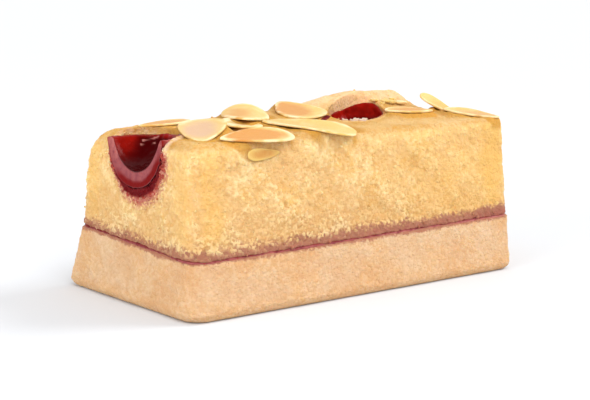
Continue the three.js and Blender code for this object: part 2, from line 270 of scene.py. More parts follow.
# The patterns in the materials: the size of their patches, their detail and, where it isn't
# the usual one, their roughness. The mosaic's cells have a size and a seed.
CRUMB_PATTERN = {
    "patches": (7.0, 2.0), "clumps": (2.6, 3.0, 0.6), "fine": (0.55, 4.0, 0.7),
    "spots": (2.2, 4.0), "sugar": (1.2, 4.0, 0.7),
}
JAM_PATTERN = {
    "patches": (2.6, 3.0), "pulp": (1.4, 4.0, 0.65), "specks": (0.7, 3.0), "ripple": (1.1, 3.0),
}
ALMOND_PATTERN = {"clouds": (3.0, 3.0), "parts": (4.5, 2.0), "streaks": (0.4, 4.0)}
GRAIN_CELLS = (0.62, 1)
SMALL_GRAIN_CELLS = (0.34, 2)

# The stage, in metres and degrees: the ground, the panel beside the cut end, and where the
# two wide lights come from and how wide they are.
GROUND_REACH = 4.0
GROUND_COLOUR = (0.64, 0.655, 0.68, 1.0)
PANEL_PLACE = (-0.5, -0.1, 0.16)
PANEL_WIDTH = 0.3
KEY_FROM = (1.0, -0.3, 0.8)
KEY_WIDTH = 28.0
FILL_FROM = (-0.2, -1.0, 0.9)
FILL_WIDTH = 40.0
# The photo's view: the point in the middle of the picture, and the camera's direction from
# there, turned from the front and raised.
TARGET = (-0.001015, 0.0, 0.017203)
AZIMUTH = -38.071
ELEVATION = 9.134

# Farther than anything on the slice, and next to nothing.
FAR = 90.0
TINY = 1e-9


# Noise

def lattice_value(corner, seed):
    """A fixed value from 0 to 1 for each corner of a lattice: its whole-number place times
    three large odd numbers, stirred by shifts and one more product."""
    mixed = corner[..., 0] * 374761393 + corner[..., 1] * 668265263
    mixed = (mixed + corner[..., 2] * 1440662683 + seed * 97561) & 0xFFFFFFFF
    mixed = ((mixed ^ (mixed >> 13)) * 1274126177) & 0xFFFFFFFF
    mixed = mixed ^ (mixed >> 16)
    return (mixed & 0xFFFF) / 65535.0


def smooth_noise(points, cell, seed):
    """From -1 to 1: random values at the corners of cubes of side cell, blended along each
    axis by s squared times (3 - 2 s)."""
    low = np.floor(points / cell).astype(np.int64)
    part = points / cell - low
    part = part * part * (3 - 2 * part)
    total = np.zeros(points.shape[:-1])
    for corner in itertools.product((0, 1), repeat=3):
        step = np.array(corner)
        weight = np.where(step == 1, part, 1 - part).prod(-1)
        total += weight * lattice_value(low + step, seed)
    return 2 * total - 1


def layered_noise(points, cell, seed, layers=3):
    """Smooth noise plus finer layers, each of half the cell and half the weight."""
    total = 0.0
    weights = 0.0
    for k in range(layers):
        total = total + smooth_noise(points, cell / 2 ** k, seed + k) / 2 ** k
        weights += 1 / 2 ** k
    return total / weights


def grains(points, cell, seed):
    """How far the nearest grain's middle lies, in cells: one random point lies in each cube of
    side cell, and the least of the distances to those round about is taken."""
    scaled = points / cell
    low = np.floor(scaled).astype(np.int64)
    nearest = np.full(points.shape[:-1], FAR)
    for offset in itertools.product((-1, 0, 1), repeat=3):
        cube = low + np.array(offset)
        middle = cube + np.stack([lattice_value(cube, seed + k) for k in range(3)], -1)
        nearest = np.minimum(nearest, np.linalg.norm(middle - scaled, axis=-1))
    return nearest


def stacked(layers, depths):
    """The relief made of the layers that have a depth: the sum of each one times its depth."""
    return sum(depth * layers[name] for name, depth in depths.items())


def mix(a, b, share):
    """The value that lies a share of the way from a to b."""
    return a + (b - a) * share


def rise(value, low, high):
    """A step from 0 at low to 1 at high with level ends: s squared times (3 - 2 s)."""
    share = np.clip((value - low) / (high - low), 0, 1)
    return share * share * (3 - 2 * share)


# The form of the slice

def wave(points):
    """Low unevenness from 0 to 1: the sum of three sines of the place, each with its share."""
    total = 0.0
    for direction, start, share in WAVES:
        total = total + share * (0.5 + 0.5 * np.sin(points @ np.array(direction) + start))
    return total


def upright_round(x, y):
    """The radius of the nearest upright edge, each of which has its own."""
    front = np.where(x < 0, CUT_FRONT_ROUND, PLAIN_FRONT_ROUND)
    back = np.where(x < 0, CUT_BACK_ROUND, PLAIN_BACK_ROUND)
    return np.where(y < 0, front, back)


def past_rounding(x, y):
    """The radius of the nearest upright edge, and how far a place of the plan lies past the
    middle of that rounding, along x and along y."""
    radius = upright_round(x, y)
    return radius, np.abs(x) - (LENGTH / 2 - radius), np.abs(y) - (WIDTH / 2 - radius)


def rounded_plan(x, y):
    """Lays a rectangle on one with round corners: inside each corner square, the square rings
    about its inner corner become circles of the same size."""
    radius, over_x, over_y = past_rounding(x, y)
    corner = (over_x > 0) & (over_y > 0)
    pull = np.maximum(over_x, over_y) / np.maximum(np.hypot(over_x, over_y), TINY)
    round_x = np.sign(x) * (LENGTH / 2 - radius + over_x * pull)
    round_y = np.sign(y) * (WIDTH / 2 - radius + over_y * pull)
    return np.where(corner, round_x, x), np.where(corner, round_y, y)


def edge_distance(x, y):
    """How far a place of the plan lies inside the round-cornered outline."""
    radius, over_x, over_y = past_rounding(x, y)
    outside = np.hypot(np.maximum(over_x, 0), np.maximum(over_y, 0))
    return radius - outside - np.minimum(np.maximum(over_x, over_y), 0)


def round_fall(distance, radius):
    """How far a quarter circle falls away at a distance from its edge."""
    over = radius - np.clip(distance, 0, radius)
    return radius - np.sqrt(radius * radius - over * over)


def lean_at(side, z):
    """One side's lean at a height: a straight stretch up to the jam and one above it."""
    foot, jam, top = LEAN[side]
    below = mix(foot, jam, np.maximum(z - LOWER_ROUND, 0) / (JAM_HEIGHT - LOWER_ROUND))
    above = mix(jam, top, (z - JAM_HEIGHT) / (HEIGHT - JAM_HEIGHT))
    return np.where(z < JAM_HEIGHT, below, above)


def leans(z, extra):
    """How far the left, right, front and back are drawn in at a height, each by extra more."""
    return [lean_at(side, z) + extra for side in LEAN]


def leaned(x, y, z, extra):
    """Draws a place of the plan in by the lean of the four sides at its height and by extra."""
    left, right, front, back = leans(z, extra)
    moved_x = x * (1 - (left + right) / LENGTH) + (left - right) / 2
    moved_y = y * (1 - (front + back) / WIDTH) + (front - back) / 2
    return moved_x, moved_y


def flat_plan(x, y, z, extra):
    """The reverse: takes a leaned place back to the plan."""
    left, right, front, back = leans(z, extra)
    plan_x = (x - (left - right) / 2) / (1 - (left + right) / LENGTH)
    plan_y = (y - (front - back) / 2) / (1 - (front + back) / WIDTH)
    return plan_x, plan_y


def jam_middle(x, y):
    """The height of the jam layer's middle, a plane that slopes a little both ways."""
    return JAM_HEIGHT + JAM_SLOPE_X * x + JAM_SLOPE_Y * y


def swell(x, y):
    """How far the top rises above its even height: a bell over the dome and one over the
    shoulder, and along the swelling a bell across y that fades in and out along x."""
    bell = ((x - DOME["x"]) / DOME["reach_x"]) ** 2 + ((y - DOME["y"]) / DOME["reach_y"]) ** 2
    aside = ((x - SHOULDER["x"]) ** 2 + (y - SHOULDER["y"]) ** 2) / SHOULDER["reach"] ** 2
    reach = np.where(y < SWELLING["y"], SWELLING["reach_front"], SWELLING["reach_back"])
    across = ((y - SWELLING["y"]) / reach) ** 2
    along = rise(x, *SWELLING["rise"]) * (1 - rise(x, *SWELLING["fall"]))
    low = DOME["height"] * np.exp(-bell) + SHOULDER["height"] * np.exp(-aside)
    return low + SWELLING["height"] * along * np.exp(-across)


def top_swell(x, y):
    """The same over a place on the slice, leaned as at the top."""
    return swell(*flat_plan(x, y, HEIGHT, SPONGE_STEP))


def lip_widening(pocket, height, side):
    """How many times wider its lip makes a pocket at a height above the level of the top: one
    plus the lip's width over the radius, times the share of its reach to the power curve.
    Side is -1 at the pocket's front and 1 behind, and between them the lip fades out."""
    widest = np.where(side < 0, pocket["lip_near"], pocket["lip_far"])
    opened = np.maximum(height / pocket["reach"] + 1, 0) ** pocket["curve"]
    return 1 + widest * side ** LIP_POWER / pocket["radius_y"] * opened


def wall_radius(pocket, height, side):
    """A pocket's wall at a height, as a share of its radius: one minus the depth's share to
    the power fullness, of that the root, times the widening by its lip."""
    down = np.clip(-height / pocket["depth"], 0, 1)
    wall = (1 - down ** pocket["fullness"]) ** (1 / pocket["fullness"])
    return wall * lip_widening(pocket, height, side)


def pocket_profile(pocket, share, side, brim):
    """Height and radius share along a pocket's wall, from its lowest point at share 0 to the
    height brim at share 1: a full curve up to where the lip starts, then even steps."""
    power = 2 / pocket["fullness"]
    last = math.acos((pocket["reach"] / pocket["depth"]) ** (1 / power))
    curve = -pocket["depth"] * np.cos(np.clip(share / CURVE_SHARE, 0, 1) * last) ** power
    lip = mix(-pocket["reach"], brim, (share - CURVE_SHARE) / (1 - CURVE_SHARE))
    height = np.where(share < CURVE_SHARE, curve, lip)
    return height, wall_radius(pocket, height, side)


def polar_share(pocket, x, y):
    """A place in the plan as a share of the pocket's radius, and its direction."""
    turn = math.radians(pocket["turn"])
    x, y = x - pocket["x"], y - pocket["y"]
    across = (x * math.cos(turn) + y * math.sin(turn)) / pocket["radius_x"]
    along = (y * math.cos(turn) - x * math.sin(turn)) / pocket["radius_y"]
    far = np.hypot(across, along)
    safe = np.maximum(far, TINY)
    return far, across / safe, along / safe


def pocket_place(pocket, across, side, share):
    """The reverse: the place in the plan at a share of the pocket's radius in a direction."""
    turn = math.radians(pocket["turn"])
    x = across * share * pocket["radius_x"]
    y = side * share * pocket["radius_y"]
    return (pocket["x"] + x * math.cos(turn) - y * math.sin(turn),
            pocket["y"] + x * math.sin(turn) + y * math.cos(turn))


def rim_height(pocket, side, across, level):
    """The height at which a pocket's wall meets the top in each direction, at most level.
    Each round takes the height of the top at the place where the last round ended."""
    height = np.minimum(level, np.ones(np.shape(side)))
    for _ in range(RIM_ROUNDS):
        x, y = pocket_place(pocket, across, side, wall_radius(pocket, height, side))
        height = np.minimum(level, top_swell(x, y))
    return height


def pocket_distance(pocket, points):
    """About how far a point lies outside a pocket: the full round form that fits the pocket
    is grown until it reaches the point."""
    far, _, side = polar_share(pocket, points[..., 0], points[..., 1])
    height = points[..., 2] - HEIGHT
    across = far / lip_widening(pocket, height, side)
    down = np.maximum(-height, 0) / pocket["depth"]
    power = pocket["fullness"]
    grown = (across ** power + down ** power) ** (1 / power)
    return (grown - 1) * min(pocket["radius_x"], pocket["radius_y"], pocket["depth"])


def set_on_faces(x, y, z):
    """Moves places that were leaned as at the top to where they are at their own height.
    Below the top the move fades out with the distance from the faces."""
    plan_x, plan_y = flat_plan(x, y, HEIGHT, SPONGE_STEP)
    near = np.where(z > HEIGHT, 1, 1 - rise(edge_distance(plan_x, plan_y), 0, FACE_DEPTH))
    own_x, own_y = leaned(plan_x, plan_y, z, SPONGE_STEP)
    return np.stack([mix(x, own_x, near), mix(y, own_y, near), z], -1)


# Meshes

def grid_triangles(rows, columns, closed=False):
    """Two triangles for each cell of a grid whose points are numbered row by row."""
    numbers = np.arange(rows * columns).reshape(rows, columns)
    if closed:
        numbers = np.concatenate([numbers, numbers[:, :1]], 1)
    a = numbers[:-1, :-1].ravel()
    b = numbers[:-1, 1:].ravel()
    c = numbers[1:, 1:].ravel()
    d = numbers[1:, :-1].ravel()
    return np.concatenate([np.stack([a, b, c], -1), np.stack([a, c, d], -1)])


def wall_triangles(above, below):
    """Joins two rings of point numbers that run against the clock, facing outwards."""
    next_above = np.roll(above, -1)
    next_below = np.roll(below, -1)
    first = np.stack([above, below, next_below], -1)
    return np.concatenate([first, np.stack([above, next_below, next_above], -1)])


def fan_triangles(ring, centre):
    """Joins a ring of point numbers to one point, facing up."""
    return np.stack([np.full(len(ring), centre), ring, np.roll(ring, -1)], -1)


def grid_border(rows, columns):
    """The outer points of a grid, against the clock from its first one."""
    numbers = np.arange(rows * columns).reshape(rows, columns)
    sides = numbers[0, :-1], numbers[:-1, -1], numbers[-1, :0:-1], numbers[:0:-1, 0]
    return np.concatenate(sides)


def weld(points, triangles):
    """Makes points in the same place one point and drops the triangles that this closes.
    Gives the numbers of the points that stay, and the triangles."""
    keys = np.round(points * 10000).astype(np.int64)
    _, first, inverse = np.unique(keys, axis=0, return_index=True, return_inverse=True)
    a, b, c = inverse.reshape(-1)[triangles].T
    kept = (a != b) & (b != c) & (a != c)
    return first, np.stack([a, b, c], -1)[kept]


def surface_normals(points, triangles):
    """The mean facing of the triangles round each point, weighted by their areas."""
    a, b, c = (points[triangles[:, k]] for k in range(3))
    facing = np.cross(b - a, c - a)
    total = np.zeros(points.shape)
    for axis in range(3):
        for corner in range(3):
            total[:, axis] += np.bincount(triangles[:, corner], facing[:, axis], len(points))
    return total / np.maximum(np.linalg.norm(total, axis=1, keepdims=True), TINY)


def add_piece(name, points, triangles, values, material, nodes=()):
    """Stores a surface as an object of the slice, with one value per point for each name in
    values and with its material, and hides the solids that it stands for."""
    mesh = bpy.data.meshes.new(name)
    mesh.vertices.add(len(points))
    mesh.vertices.foreach_set("co", (points * MM).ravel())
    mesh.loops.add(triangles.size)
    mesh.loops.foreach_set("vertex_index", triangles.ravel().astype(np.int32))
    mesh.polygons.add(len(triangles))
    mesh.polygons.foreach_set("loop_start", np.arange(0, triangles.size, 3, dtype=np.int32))
    mesh.polygons.foreach_set("use_smooth", np.ones(len(triangles), bool))
    mesh.update(calc_edges=True)
    for key, value in values.items():
        layer = mesh.attributes.new(key, "FLOAT", "POINT")
        layer.data.foreach_set("value", np.asarray(value, np.float32))
    mesh.validate()
    mesh.materials.append(material)
    piece = bpy.data.objects.new(name, mesh)
    bpy.context.scene.collection.objects.link(piece)
    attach(piece, BODY)
    if nodes:
        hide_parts(*nodes)


def face_lines(size, spacing, radius):
    """Places of the lines of a grid across a face: even steps, and in the rounding at each
    end the same steps along its arc."""
    angle = np.linspace(0, math.pi / 2, round(radius * math.pi / 2 / spacing) + 1)[:-1]
    start = radius * (1 - np.cos(angle))
    middle = np.linspace(radius, size - radius, round((size - 2 * radius) / spacing) + 1)
    return np.concatenate([start, middle, size - start[::-1]]) - size / 2


def outline(spacing):
    """The round-cornered outline of the slice in the plan, against the clock."""
    along = np.linspace(-LENGTH / 2, LENGTH / 2, round(LENGTH / spacing) + 1)
    across = np.linspace(-WIDTH / 2, WIDTH / 2, round(WIDTH / spacing) + 1)
    x = np.concatenate([along[:-1], np.full(across.size - 1, along[-1]),
                        along[:0:-1], np.full(across.size - 1, along[0])])
    y = np.concatenate([np.full(along.size - 1, across[0]), across[:-1],
                        np.full(along.size - 1, across[-1]), across[:0:-1]])
    return rounded_plan(x, y)


def ring_shell(rings):
    """Triangles of a closed body made of equal rings from its top down, each end closed by a
    fan to the mean of its last ring. Gives all the points too."""
    count = rings.shape[1]
    numbers = np.arange(rings.shape[0] * count).reshape(rings.shape[:2])
    parts = [wall_triangles(numbers[k], numbers[k + 1]) for k in range(len(rings) - 1)]
    points = np.concatenate([rings.reshape(-1, 3), rings[:1].mean(1), rings[-1:].mean(1)])
    parts.append(fan_triangles(numbers[0], numbers.size))
    parts.append(fan_triangles(numbers[-1], numbers.size + 1)[:, ::-1])
    return points, np.concatenate(parts)


# The base

def base_surface(spacing, relief):
    """Rings round the base, from its top down its side and round its lower edge, with short
    crumbs: grains of two sizes and slow unevenness, moved along the surface's own facing."""
    plan_x, plan_y = outline(spacing)
    place = np.stack([plan_x, plan_y, plan_x * 0], -1)
    top = jam_middle(plan_x, plan_y) - 0.02 - 0.16 * layered_noise(place, *BASE_NOISE["top"])
    steps = np.linspace(1, 0, round(JAM_HEIGHT / spacing))[:, None]
    z = top * steps ** 1.25
    inward = round_fall(z, LOWER_ROUND) + round_fall(top - z, BASE_TOP_ROUND)
    x, y = leaned(plan_x, plan_y, z, inward)
    side = np.stack([x, y, z], -1)
    above = side[:1] * np.array([0.9, 0.9, 1])
    below = above * np.array([1, 1, 0])
    points, triangles = ring_shell(np.concatenate([above, side, below]))
    facing = surface_normals(points, triangles)
    slow = layered_noise(points, *BASE_NOISE["slow"])
    level_cells = points * np.array([1, 1, 1.8])
    layers = {
        "coarse": 0.5 - grains(points, *BASE_NOISE["coarse"]),
        "fine": 0.45 - grains(points, *BASE_NOISE["fine"]),
        "slow": slow,
        "rough": layered_noise(points, *BASE_NOISE["rough"]),
        "cracks": -rise(layered_noise(level_cells, *BASE_NOISE["cracks"]), 0.4, 0.7),
    }
    height = stacked(layers, BASE_RELIEF) - BASE_WAVE * wave(points)
    lifted = rise(points[:, 2], 0.0, 1.2)
    points = points + facing * (relief * height * lifted)[:, None]
    points[:, 2] = np.maximum(points[:, 2], 0)
    below_jam = jam_middle(points[:, 0], points[:, 1]) - points[:, 2]
    values = {
        # Painted shade in the low places of the crumb.
        "pit_shade": np.clip(0.5 - 1.6 * height, 0, 1),
        "soak": 0.8 - 0.8 * rise(below_jam, 0.1, 1.3 + 0.9 * slow),
        "low": 1 - rise(points[:, 2], 0.5, 5.0),
    }
    return points, triangles, values


# The jam layer

def jam_layer_surface(spacing):
    """Rings round the jam layer over half a turn of its rounded side, which bulges out here
    and there, closed inwards on top and below. It takes the cut jam's pale colour, which is
    painted sheen, in patches and all along its lower half, where painted glints lie too, more
    of them towards the plain end."""
    plan_x, plan_y = outline(spacing)
    angle = np.linspace(math.pi / 2, -math.pi / 2, JAM_ROWS)[:, None]
    z = jam_middle(plan_x, plan_y) + JAM_HALF * np.sin(angle)
    x, y = leaned(plan_x, plan_y, z, SPONGE_STEP + 0.22 + 0.4 * (1 - np.cos(angle)))
    rings = np.stack([x, y, z], -1)
    inner = rings[[0, -1]] * np.array([0.93, 0.93, 1])
    points, triangles = ring_shell(np.concatenate([inner[:1], rings, inner[1:]]))
    facing = surface_normals(points, triangles)
    layers = {name: layered_noise(points, *JAM_LAYER_NOISE[name]) for name in JAM_LAYER_RELIEF}
    upright = 1 - np.abs(facing[:, 2])
    points = points + facing * (stacked(layers, JAM_LAYER_RELIEF) * upright)[:, None]
    patches = layered_noise(points, *JAM_LAYER_NOISE["patches"])
    below = rise(jam_middle(points[:, 0], points[:, 1]) - points[:, 2], -0.15, 0.3)
    glints = layered_noise(points, *JAM_LAYER_NOISE["glints"]) + 0.014 * points[:, 0]
    values = {
        "thin": np.full(len(points), 0.3),
        # Painted sheen of cut jam in patches and on the lower half.
        "cut": np.clip(0.3 + 0.4 * patches + below, 0, 1),
        # Painted glints on the lower half.
        "seam": rise(glints, -0.1, 0.6) * below,
    }
    return points, triangles, values


# The sponge

def upper_round(x, y):
    """The radius of the upper edge: smaller towards the plain end, and larger at the far
    corner of the cut end."""
    corner = (1 - rise(x, -LENGTH / 2, -LENGTH / 2 + 12)) * rise(y, 4, WIDTH / 2 - 3)
    return mix(UPPER_ROUND_CUT, UPPER_ROUND_PLAIN, rise(x, 0, LENGTH / 2)) + 3.0 * corner


def soft_least(a, b, reach):
    """The lower one of two heights; where they differ by less than reach the two blend, by a
    parabola that touches both."""
    share = np.clip(0.5 + 0.5 * (b - a) / reach, 0, 1)
    return mix(b, a, share) - reach * share * (1 - share)


def sponge_sheet(spacing):
    """The top of the sponge on a grid of the plan. Inside a pocket's rim the grid is drawn
    together along lines through the pocket's middle, so that its rows step evenly down the
    wall. A point's height is the lower one of the top's and the pocket's, softly blended."""
    lines_x = face_lines(LENGTH, spacing, FACE_DEPTH)
    lines_y = face_lines(WIDTH, spacing, FACE_DEPTH)
    x, y = leaned(*rounded_plan(*np.meshgrid(lines_x, lines_y)), HEIGHT, SPONGE_STEP)
    bowl = np.full(x.shape, FAR)
    for pocket in (END_POCKET, TOP_POCKET):
        far, across, side = polar_share(pocket, x, y)
        brim = rim_height(pocket, side, across, FAR) + RIM_BLEND
        share = far / wall_radius(pocket, brim, side)
        height, radius = pocket_profile(pocket, np.minimum(share, 1), side, brim)
        inside = share < 1
        inner_x, inner_y = pocket_place(pocket, across, side, radius)
        x = np.where(inside, inner_x, x)
        y = np.where(inside, inner_y, y)
        bowl = np.where(inside, HEIGHT + height, bowl)
    plan_x, plan_y = flat_plan(x, y, HEIGHT, SPONGE_STEP)
    fall = round_fall(edge_distance(plan_x, plan_y), upper_round(plan_x, plan_y))
    z = soft_least(HEIGHT + swell(plan_x, plan_y) - fall, bowl, RIM_BLEND)
    return set_on_faces(x, y, z), plan_x, plan_y


def almond_seats(points):
    """How far the crust under and round each almond rises to meet it: up to the almond's
    underside inside its outline, and ever less outside. Gives too a ring round each almond,
    where the crust is painted darker as shade, and the strip along its near side that is
    painted a deeper gold as shadow."""
    lift = np.zeros(len(points))
    ring = np.zeros(len(points))
    shade_band = np.zeros(len(points))
    for number, (size, _, _, bends, _, _) in enumerate(ALMONDS):
        turn, middle = almond_place(number)
        local = (points - middle) @ turn
        far = almond_share(local, size)
        bend = bends[0] * (2 * local[:, 0] / size[0]) ** 2
        bend = bend + bends[1] * (2 * local[:, 1] / size[1]) ** 2
        gap = np.clip(bend - 0.2 - local[:, 2], 0, 4)
        near = (1 - rise(far, 0.96, 1.55)) * (1 - rise(gap, 1.3, 2.4))
        lift = np.maximum(lift, gap * near)
        # A ring round each almond, by which the crust is painted darker as shade.
        ring = np.maximum(ring, (1 - rise(far, 1.0, 1.5)) * (1 - rise(gap, 1.3, 3.0)))
        # The strip of painted shadow: the almond's outline moved towards its near side.
        behind = almond_share((points + SHADE_BAND_SHIFT - middle) @ turn, size)
        here = rise(far, 0.92, 1.0) * (1 - rise(behind, 0.98, 1.12)) * (1 - rise(gap, 1.6, 3.0))
        shade_band = np.maximum(shade_band, here)
    return lift, ring, shade_band


def almond_share(local, size):
    """How far a place lies from an almond's middle, where 1 is its outline."""
    along = local[:, 0] / (size[0] / 2)
    across = local[:, 1] / (size[1] / 2) / np.clip(1 - ALMOND_POINT * along, 0.4, 2)
    return np.hypot(along, across)


def sunken_share(points):
    """The same for the almond sunk in the front."""
    local = (points - np.array(SUNKEN_PLACE)) @ almond_turn(*SUNKEN_TURN)
    share = almond_share(local, SUNKEN_SIZE)
    return np.where(np.abs(local[:, 2]) < 1.6, share, FAR)


def spot_cover(points, spots):
    """From 0 to 1, how well the nearest of some round spots covers a place."""
    cover = np.zeros(len(points))
    for x, y, start, end in spots:
        distance = np.hypot(points[:, 0] - x, points[:, 1] - y)
        cover = np.maximum(cover, 1 - rise(distance, start, end))
    return cover


def line_distance(points, first, last):
    """How far a place lies from the straight line between two others."""
    first, last = np.array(first), np.array(last)
    places = points[:, :len(first)]
    step = last - first
    share = np.clip(((places - first) @ step) / (step @ step), 0, 1)
    return np.linalg.norm(places - first - share[:, None] * step, axis=1)


def jam_stain(points):
    """Two shares of stain round the first pocket: a pink one that fades over its reach in
    each direction, and a dark one that ends sharply. The pink one has a faint edge round the
    second pocket too."""
    outside = pocket_distance(END_POCKET, points)
    level = np.minimum(points[:, 2] - HEIGHT, 0)
    angle = np.degrees(np.arctan2(level - 0.01, points[:, 1] - END_POCKET["y"]))
    pink = 1 - np.clip(outside, 0, None) / np.interp(angle, *STAIN_REACH)
    dark = 1 - np.clip(outside, 0, None) / (np.interp(angle, *DARK_REACH) + TINY)
    upper = 1 - rise(points[:, 2], HEIGHT - 3.2, HEIGHT - 1.2)
    second = 1 - rise(pocket_distance(TOP_POCKET, points), 0.2, 1.1)
    second = second * (1 - rise(points[:, 2], HEIGHT + 0.6, HEIGHT + 2.4))
    pink = np.maximum(np.clip(pink, 0, 1) * upper, 0.38 * second)
    return pink, np.clip(dark, 0, 1) * upper


def sponge_shell(spacing):
    """The sheet of the top, walls of rings below its border and a closed underside."""
    sheet, plan_x, plan_y = sponge_sheet(spacing)
    border = grid_border(*plan_x.shape)
    top = sheet.reshape(-1, 3)
    edge_x = plan_x.ravel()[border]
    edge_y = plan_y.ravel()[border]
    place = np.stack([edge_x, edge_y, edge_x * 0], -1)
    floor = jam_middle(edge_x, edge_y) + 0.22 * layered_noise(place, *SPONGE_NOISE["floor"])
    rows = round((HEIGHT - JAM_HEIGHT - FACE_DEPTH) / spacing)
    shares = np.linspace(0, 1, rows + 1)[1:, None]
    z = mix(top[border, 2], floor, shares)
    x, y = leaned(edge_x, edge_y, z, SPONGE_STEP + round_fall(z - floor, SPONGE_FOOT_ROUND))
    walls = np.stack([x, y, z], -1).reshape(-1, 3)
    middle = np.array([[0, 0, JAM_HEIGHT + 0.35]])
    points = np.concatenate([top, walls, middle])
    triangles = [grid_triangles(*plan_x.shape)]
    above = border
    for row in range(rows):
        below = len(top) + row * len(border) + np.arange(len(border))
        triangles.append(wall_triangles(above, below))
        above = below
    triangles.append(fan_triangles(above, len(points) - 1)[:, ::-1])
    return points, np.concatenate(triangles)


def sponge_areas(points, facing):
    """What lies where on the sponge, before it gets its crumb: the distance outside the
    nearest pocket, shares from 0 to 1 of pocket wall, open wall, crust, rim, pale and stained
    crumb, the place beside the sunken almond, and unevenness of two sizes."""
    area = SimpleNamespace()
    area.pockets = np.minimum(pocket_distance(END_POCKET, points),
                              pocket_distance(TOP_POCKET, points))
    area.inside = 1 - rise(area.pockets, 0.3, 1.2)
    area.open_wall = area.inside * rise(points[:, 2], HEIGHT - 1.6, HEIGHT - 0.4)
    area.crust = rise(facing[:, 2], 0.35, 0.8) * (1 - area.inside)
    area.lip = 1 - rise(np.abs(area.pockets), 0.3, 1.6)
    area.lip = area.lip * rise(points[:, 2], HEIGHT - 4, HEIGHT - 3)
    area.pale = spot_cover(points, PALE_SPOTS) * rise(facing[:, 2], 0.0, 0.4)
    area.pink, area.dark = jam_stain(points)
    area.sunken = sunken_share(points)
    area.slow = layered_noise(points, *SPONGE_NOISE["slow"])
    area.rough = layered_noise(points, *SPONGE_NOISE["rough"])
    return area


def crumb_height(points, area):
    """How high the crumb stands: grains of two sizes, unevenness and holes where it was cut,
    unevenness and fine pores on the crust, and rounder lumps in the pockets. It is calmer at
    the rims and by the sunken almond, and rougher where it is pale or pink."""
    coarse = grains(points, *SPONGE_NOISE["coarse"])
    fine = grains(points, *SPONGE_NOISE["fine"])
    layers = {
        "coarse": 0.5 - coarse,
        "fine": 0.45 - fine,
        "slow": area.slow,
        "rough": area.rough,
        "holes": -rise(layered_noise(points, *SPONGE_NOISE["holes"]), 0.3, 0.6),
        "pores": rise(grains(points, *SPONGE_NOISE["pores"]), 0.1, 0.3) - 1,
        "lumps": layered_noise(points, *SPONGE_NOISE["lumps"]),
    }
    skin = stacked(layers, CRUST_RELIEF)
    outer = mix(stacked(layers, CUT_RELIEF), skin, area.crust)
    height = mix(outer, mix(stacked(layers, POCKET_RELIEF), skin, area.open_wall), area.inside)
    height = height * (1 - 0.3 * area.lip) + 0.3 * area.pale * (0.6 - coarse)
    height = height + 0.35 * area.pink * (0.45 - fine) - 0.2 * area.dark
    height = height * (1 - 0.8 * (1 - rise(area.sunken, 0.9, 1.3)))
    return height - SPONGE_WAVE * wave(points) * (1 - area.inside)


def tan_share(points, slow):
    """From 0 to 1, how well the nearest soft tan patch covers a place."""
    share = np.zeros(len(points))
    for *spot, radius in TAN_PATCHES:
        away = np.linalg.norm(points - np.array(spot), axis=1)
        share = np.maximum(share, 1 - rise(away, 0.1 * radius, (1.2 + 0.4 * slow) * radius))
    return share


def sponge_values(points, facing, area, height, ring, shade_band):
    """One value per point for each thing that colours the sponge: painted shade in its pits, the
    jam soaked in from below, stains, the crust with rings of painted shade round the almonds,
    strips of painted shadow beside them, painted shade in a slit, and the swelling, sugary
    places, golden upright edges, the paler upper and browner lower crumb, and painted light on
    faces turned to the left."""
    slow, pale = area.slow, area.pale
    above_jam = points[:, 2] - jam_middle(points[:, 0], points[:, 1])
    soak = 1 - rise(above_jam, -0.6, 4.8 + 2.0 * slow + 1.4 * area.rough)
    plan_x, plan_y = flat_plan(points[:, 0], points[:, 1], points[:, 2], SPONGE_STEP)
    soak = soak * (0.78 + 0.22 * rise(plan_x, -38, 10) + 0.3 * rise(plan_x, 28, 40))
    crust = np.maximum(area.crust, area.open_wall)
    patch = tan_share(points, slow)

    rims = 1 - rise(area.pockets, 0.5, 4.0 + 2.0 * slow)
    # The rings round the almonds darken the baked crust: painted shade.
    bake = np.clip(crust * (0.62 + 0.5 * ring + 0.3 * rims) + 0.25 * slow * crust, 0, 1)
    bake = np.maximum(bake * (1 - pale), 0.26 * patch * (1 - crust))
    beside = 1 - rise(np.abs(area.sunken - 1.08), 0.03, 0.2)
    # The slit is painted dark as shade.
    slit = 1 - rise(line_distance(points, *SHADED_SLIT), 0.35, 0.8)
    hump = rise(top_swell(points[:, 0], points[:, 1]), 1.6, 3.6)

    far_wall = area.inside * rise(points[:, 1], 6, 9)
    far_wall = far_wall * (1 - rise(points[:, 2], HEIGHT, HEIGHT + 1))
    lip = area.lip * (1 - rise(points[:, 1], -7, -3)) * (points[:, 0] < -20)
    frost = np.clip(pale + 0.8 * lip + 0.35 * far_wall * (points[:, 0] < -20), 0, 1)

    from_corner = np.hypot(LENGTH / 2 - np.abs(plan_x), WIDTH / 2 - np.abs(plan_y))
    gold = rise(from_corner, 1.5, 3.5) * (1 - rise(from_corner, 5, 10))
    gold = gold * rise(above_jam, 1, 5) + 0.75 * rise(plan_x, -10, 30)
    gold = np.clip(gold * (0.7 + 0.6 * slow), 0, 1) * (1 - crust)
    high = 1 - rise(HEIGHT - points[:, 2], 1, 7 + 2 * slow)
    # Faces turned to the left are painted paler too: painted light on the cut end.
    high = np.maximum(high, 0.3 * rise(-facing[:, 0], 0.5, 0.9)) * (1 - crust)
    low = 1 - rise(above_jam, 1.5, 13 + 3 * slow)
    return {
        # Painted shade in the low places of the crumb, less on the crust.
        "pit_shade": np.clip(0.5 - 1.5 * height, 0, 1) * (1 - 0.5 * crust), "soak": soak,
        # The dark of the jam stain, and the slit's painted shade on the crust.
        "stain": area.pink, "dark": np.maximum(area.dark, slit * crust), "bake": bake,
        # Strips of painted shadow by the almonds, and a ring of the same round the sunken one.
        "gold": gold, "hump": hump * crust, "shade_band": np.maximum(shade_band, beside * 0.6),
        "frost": frost, "high": high, "low": np.maximum(low, 0.9 * patch),
    }


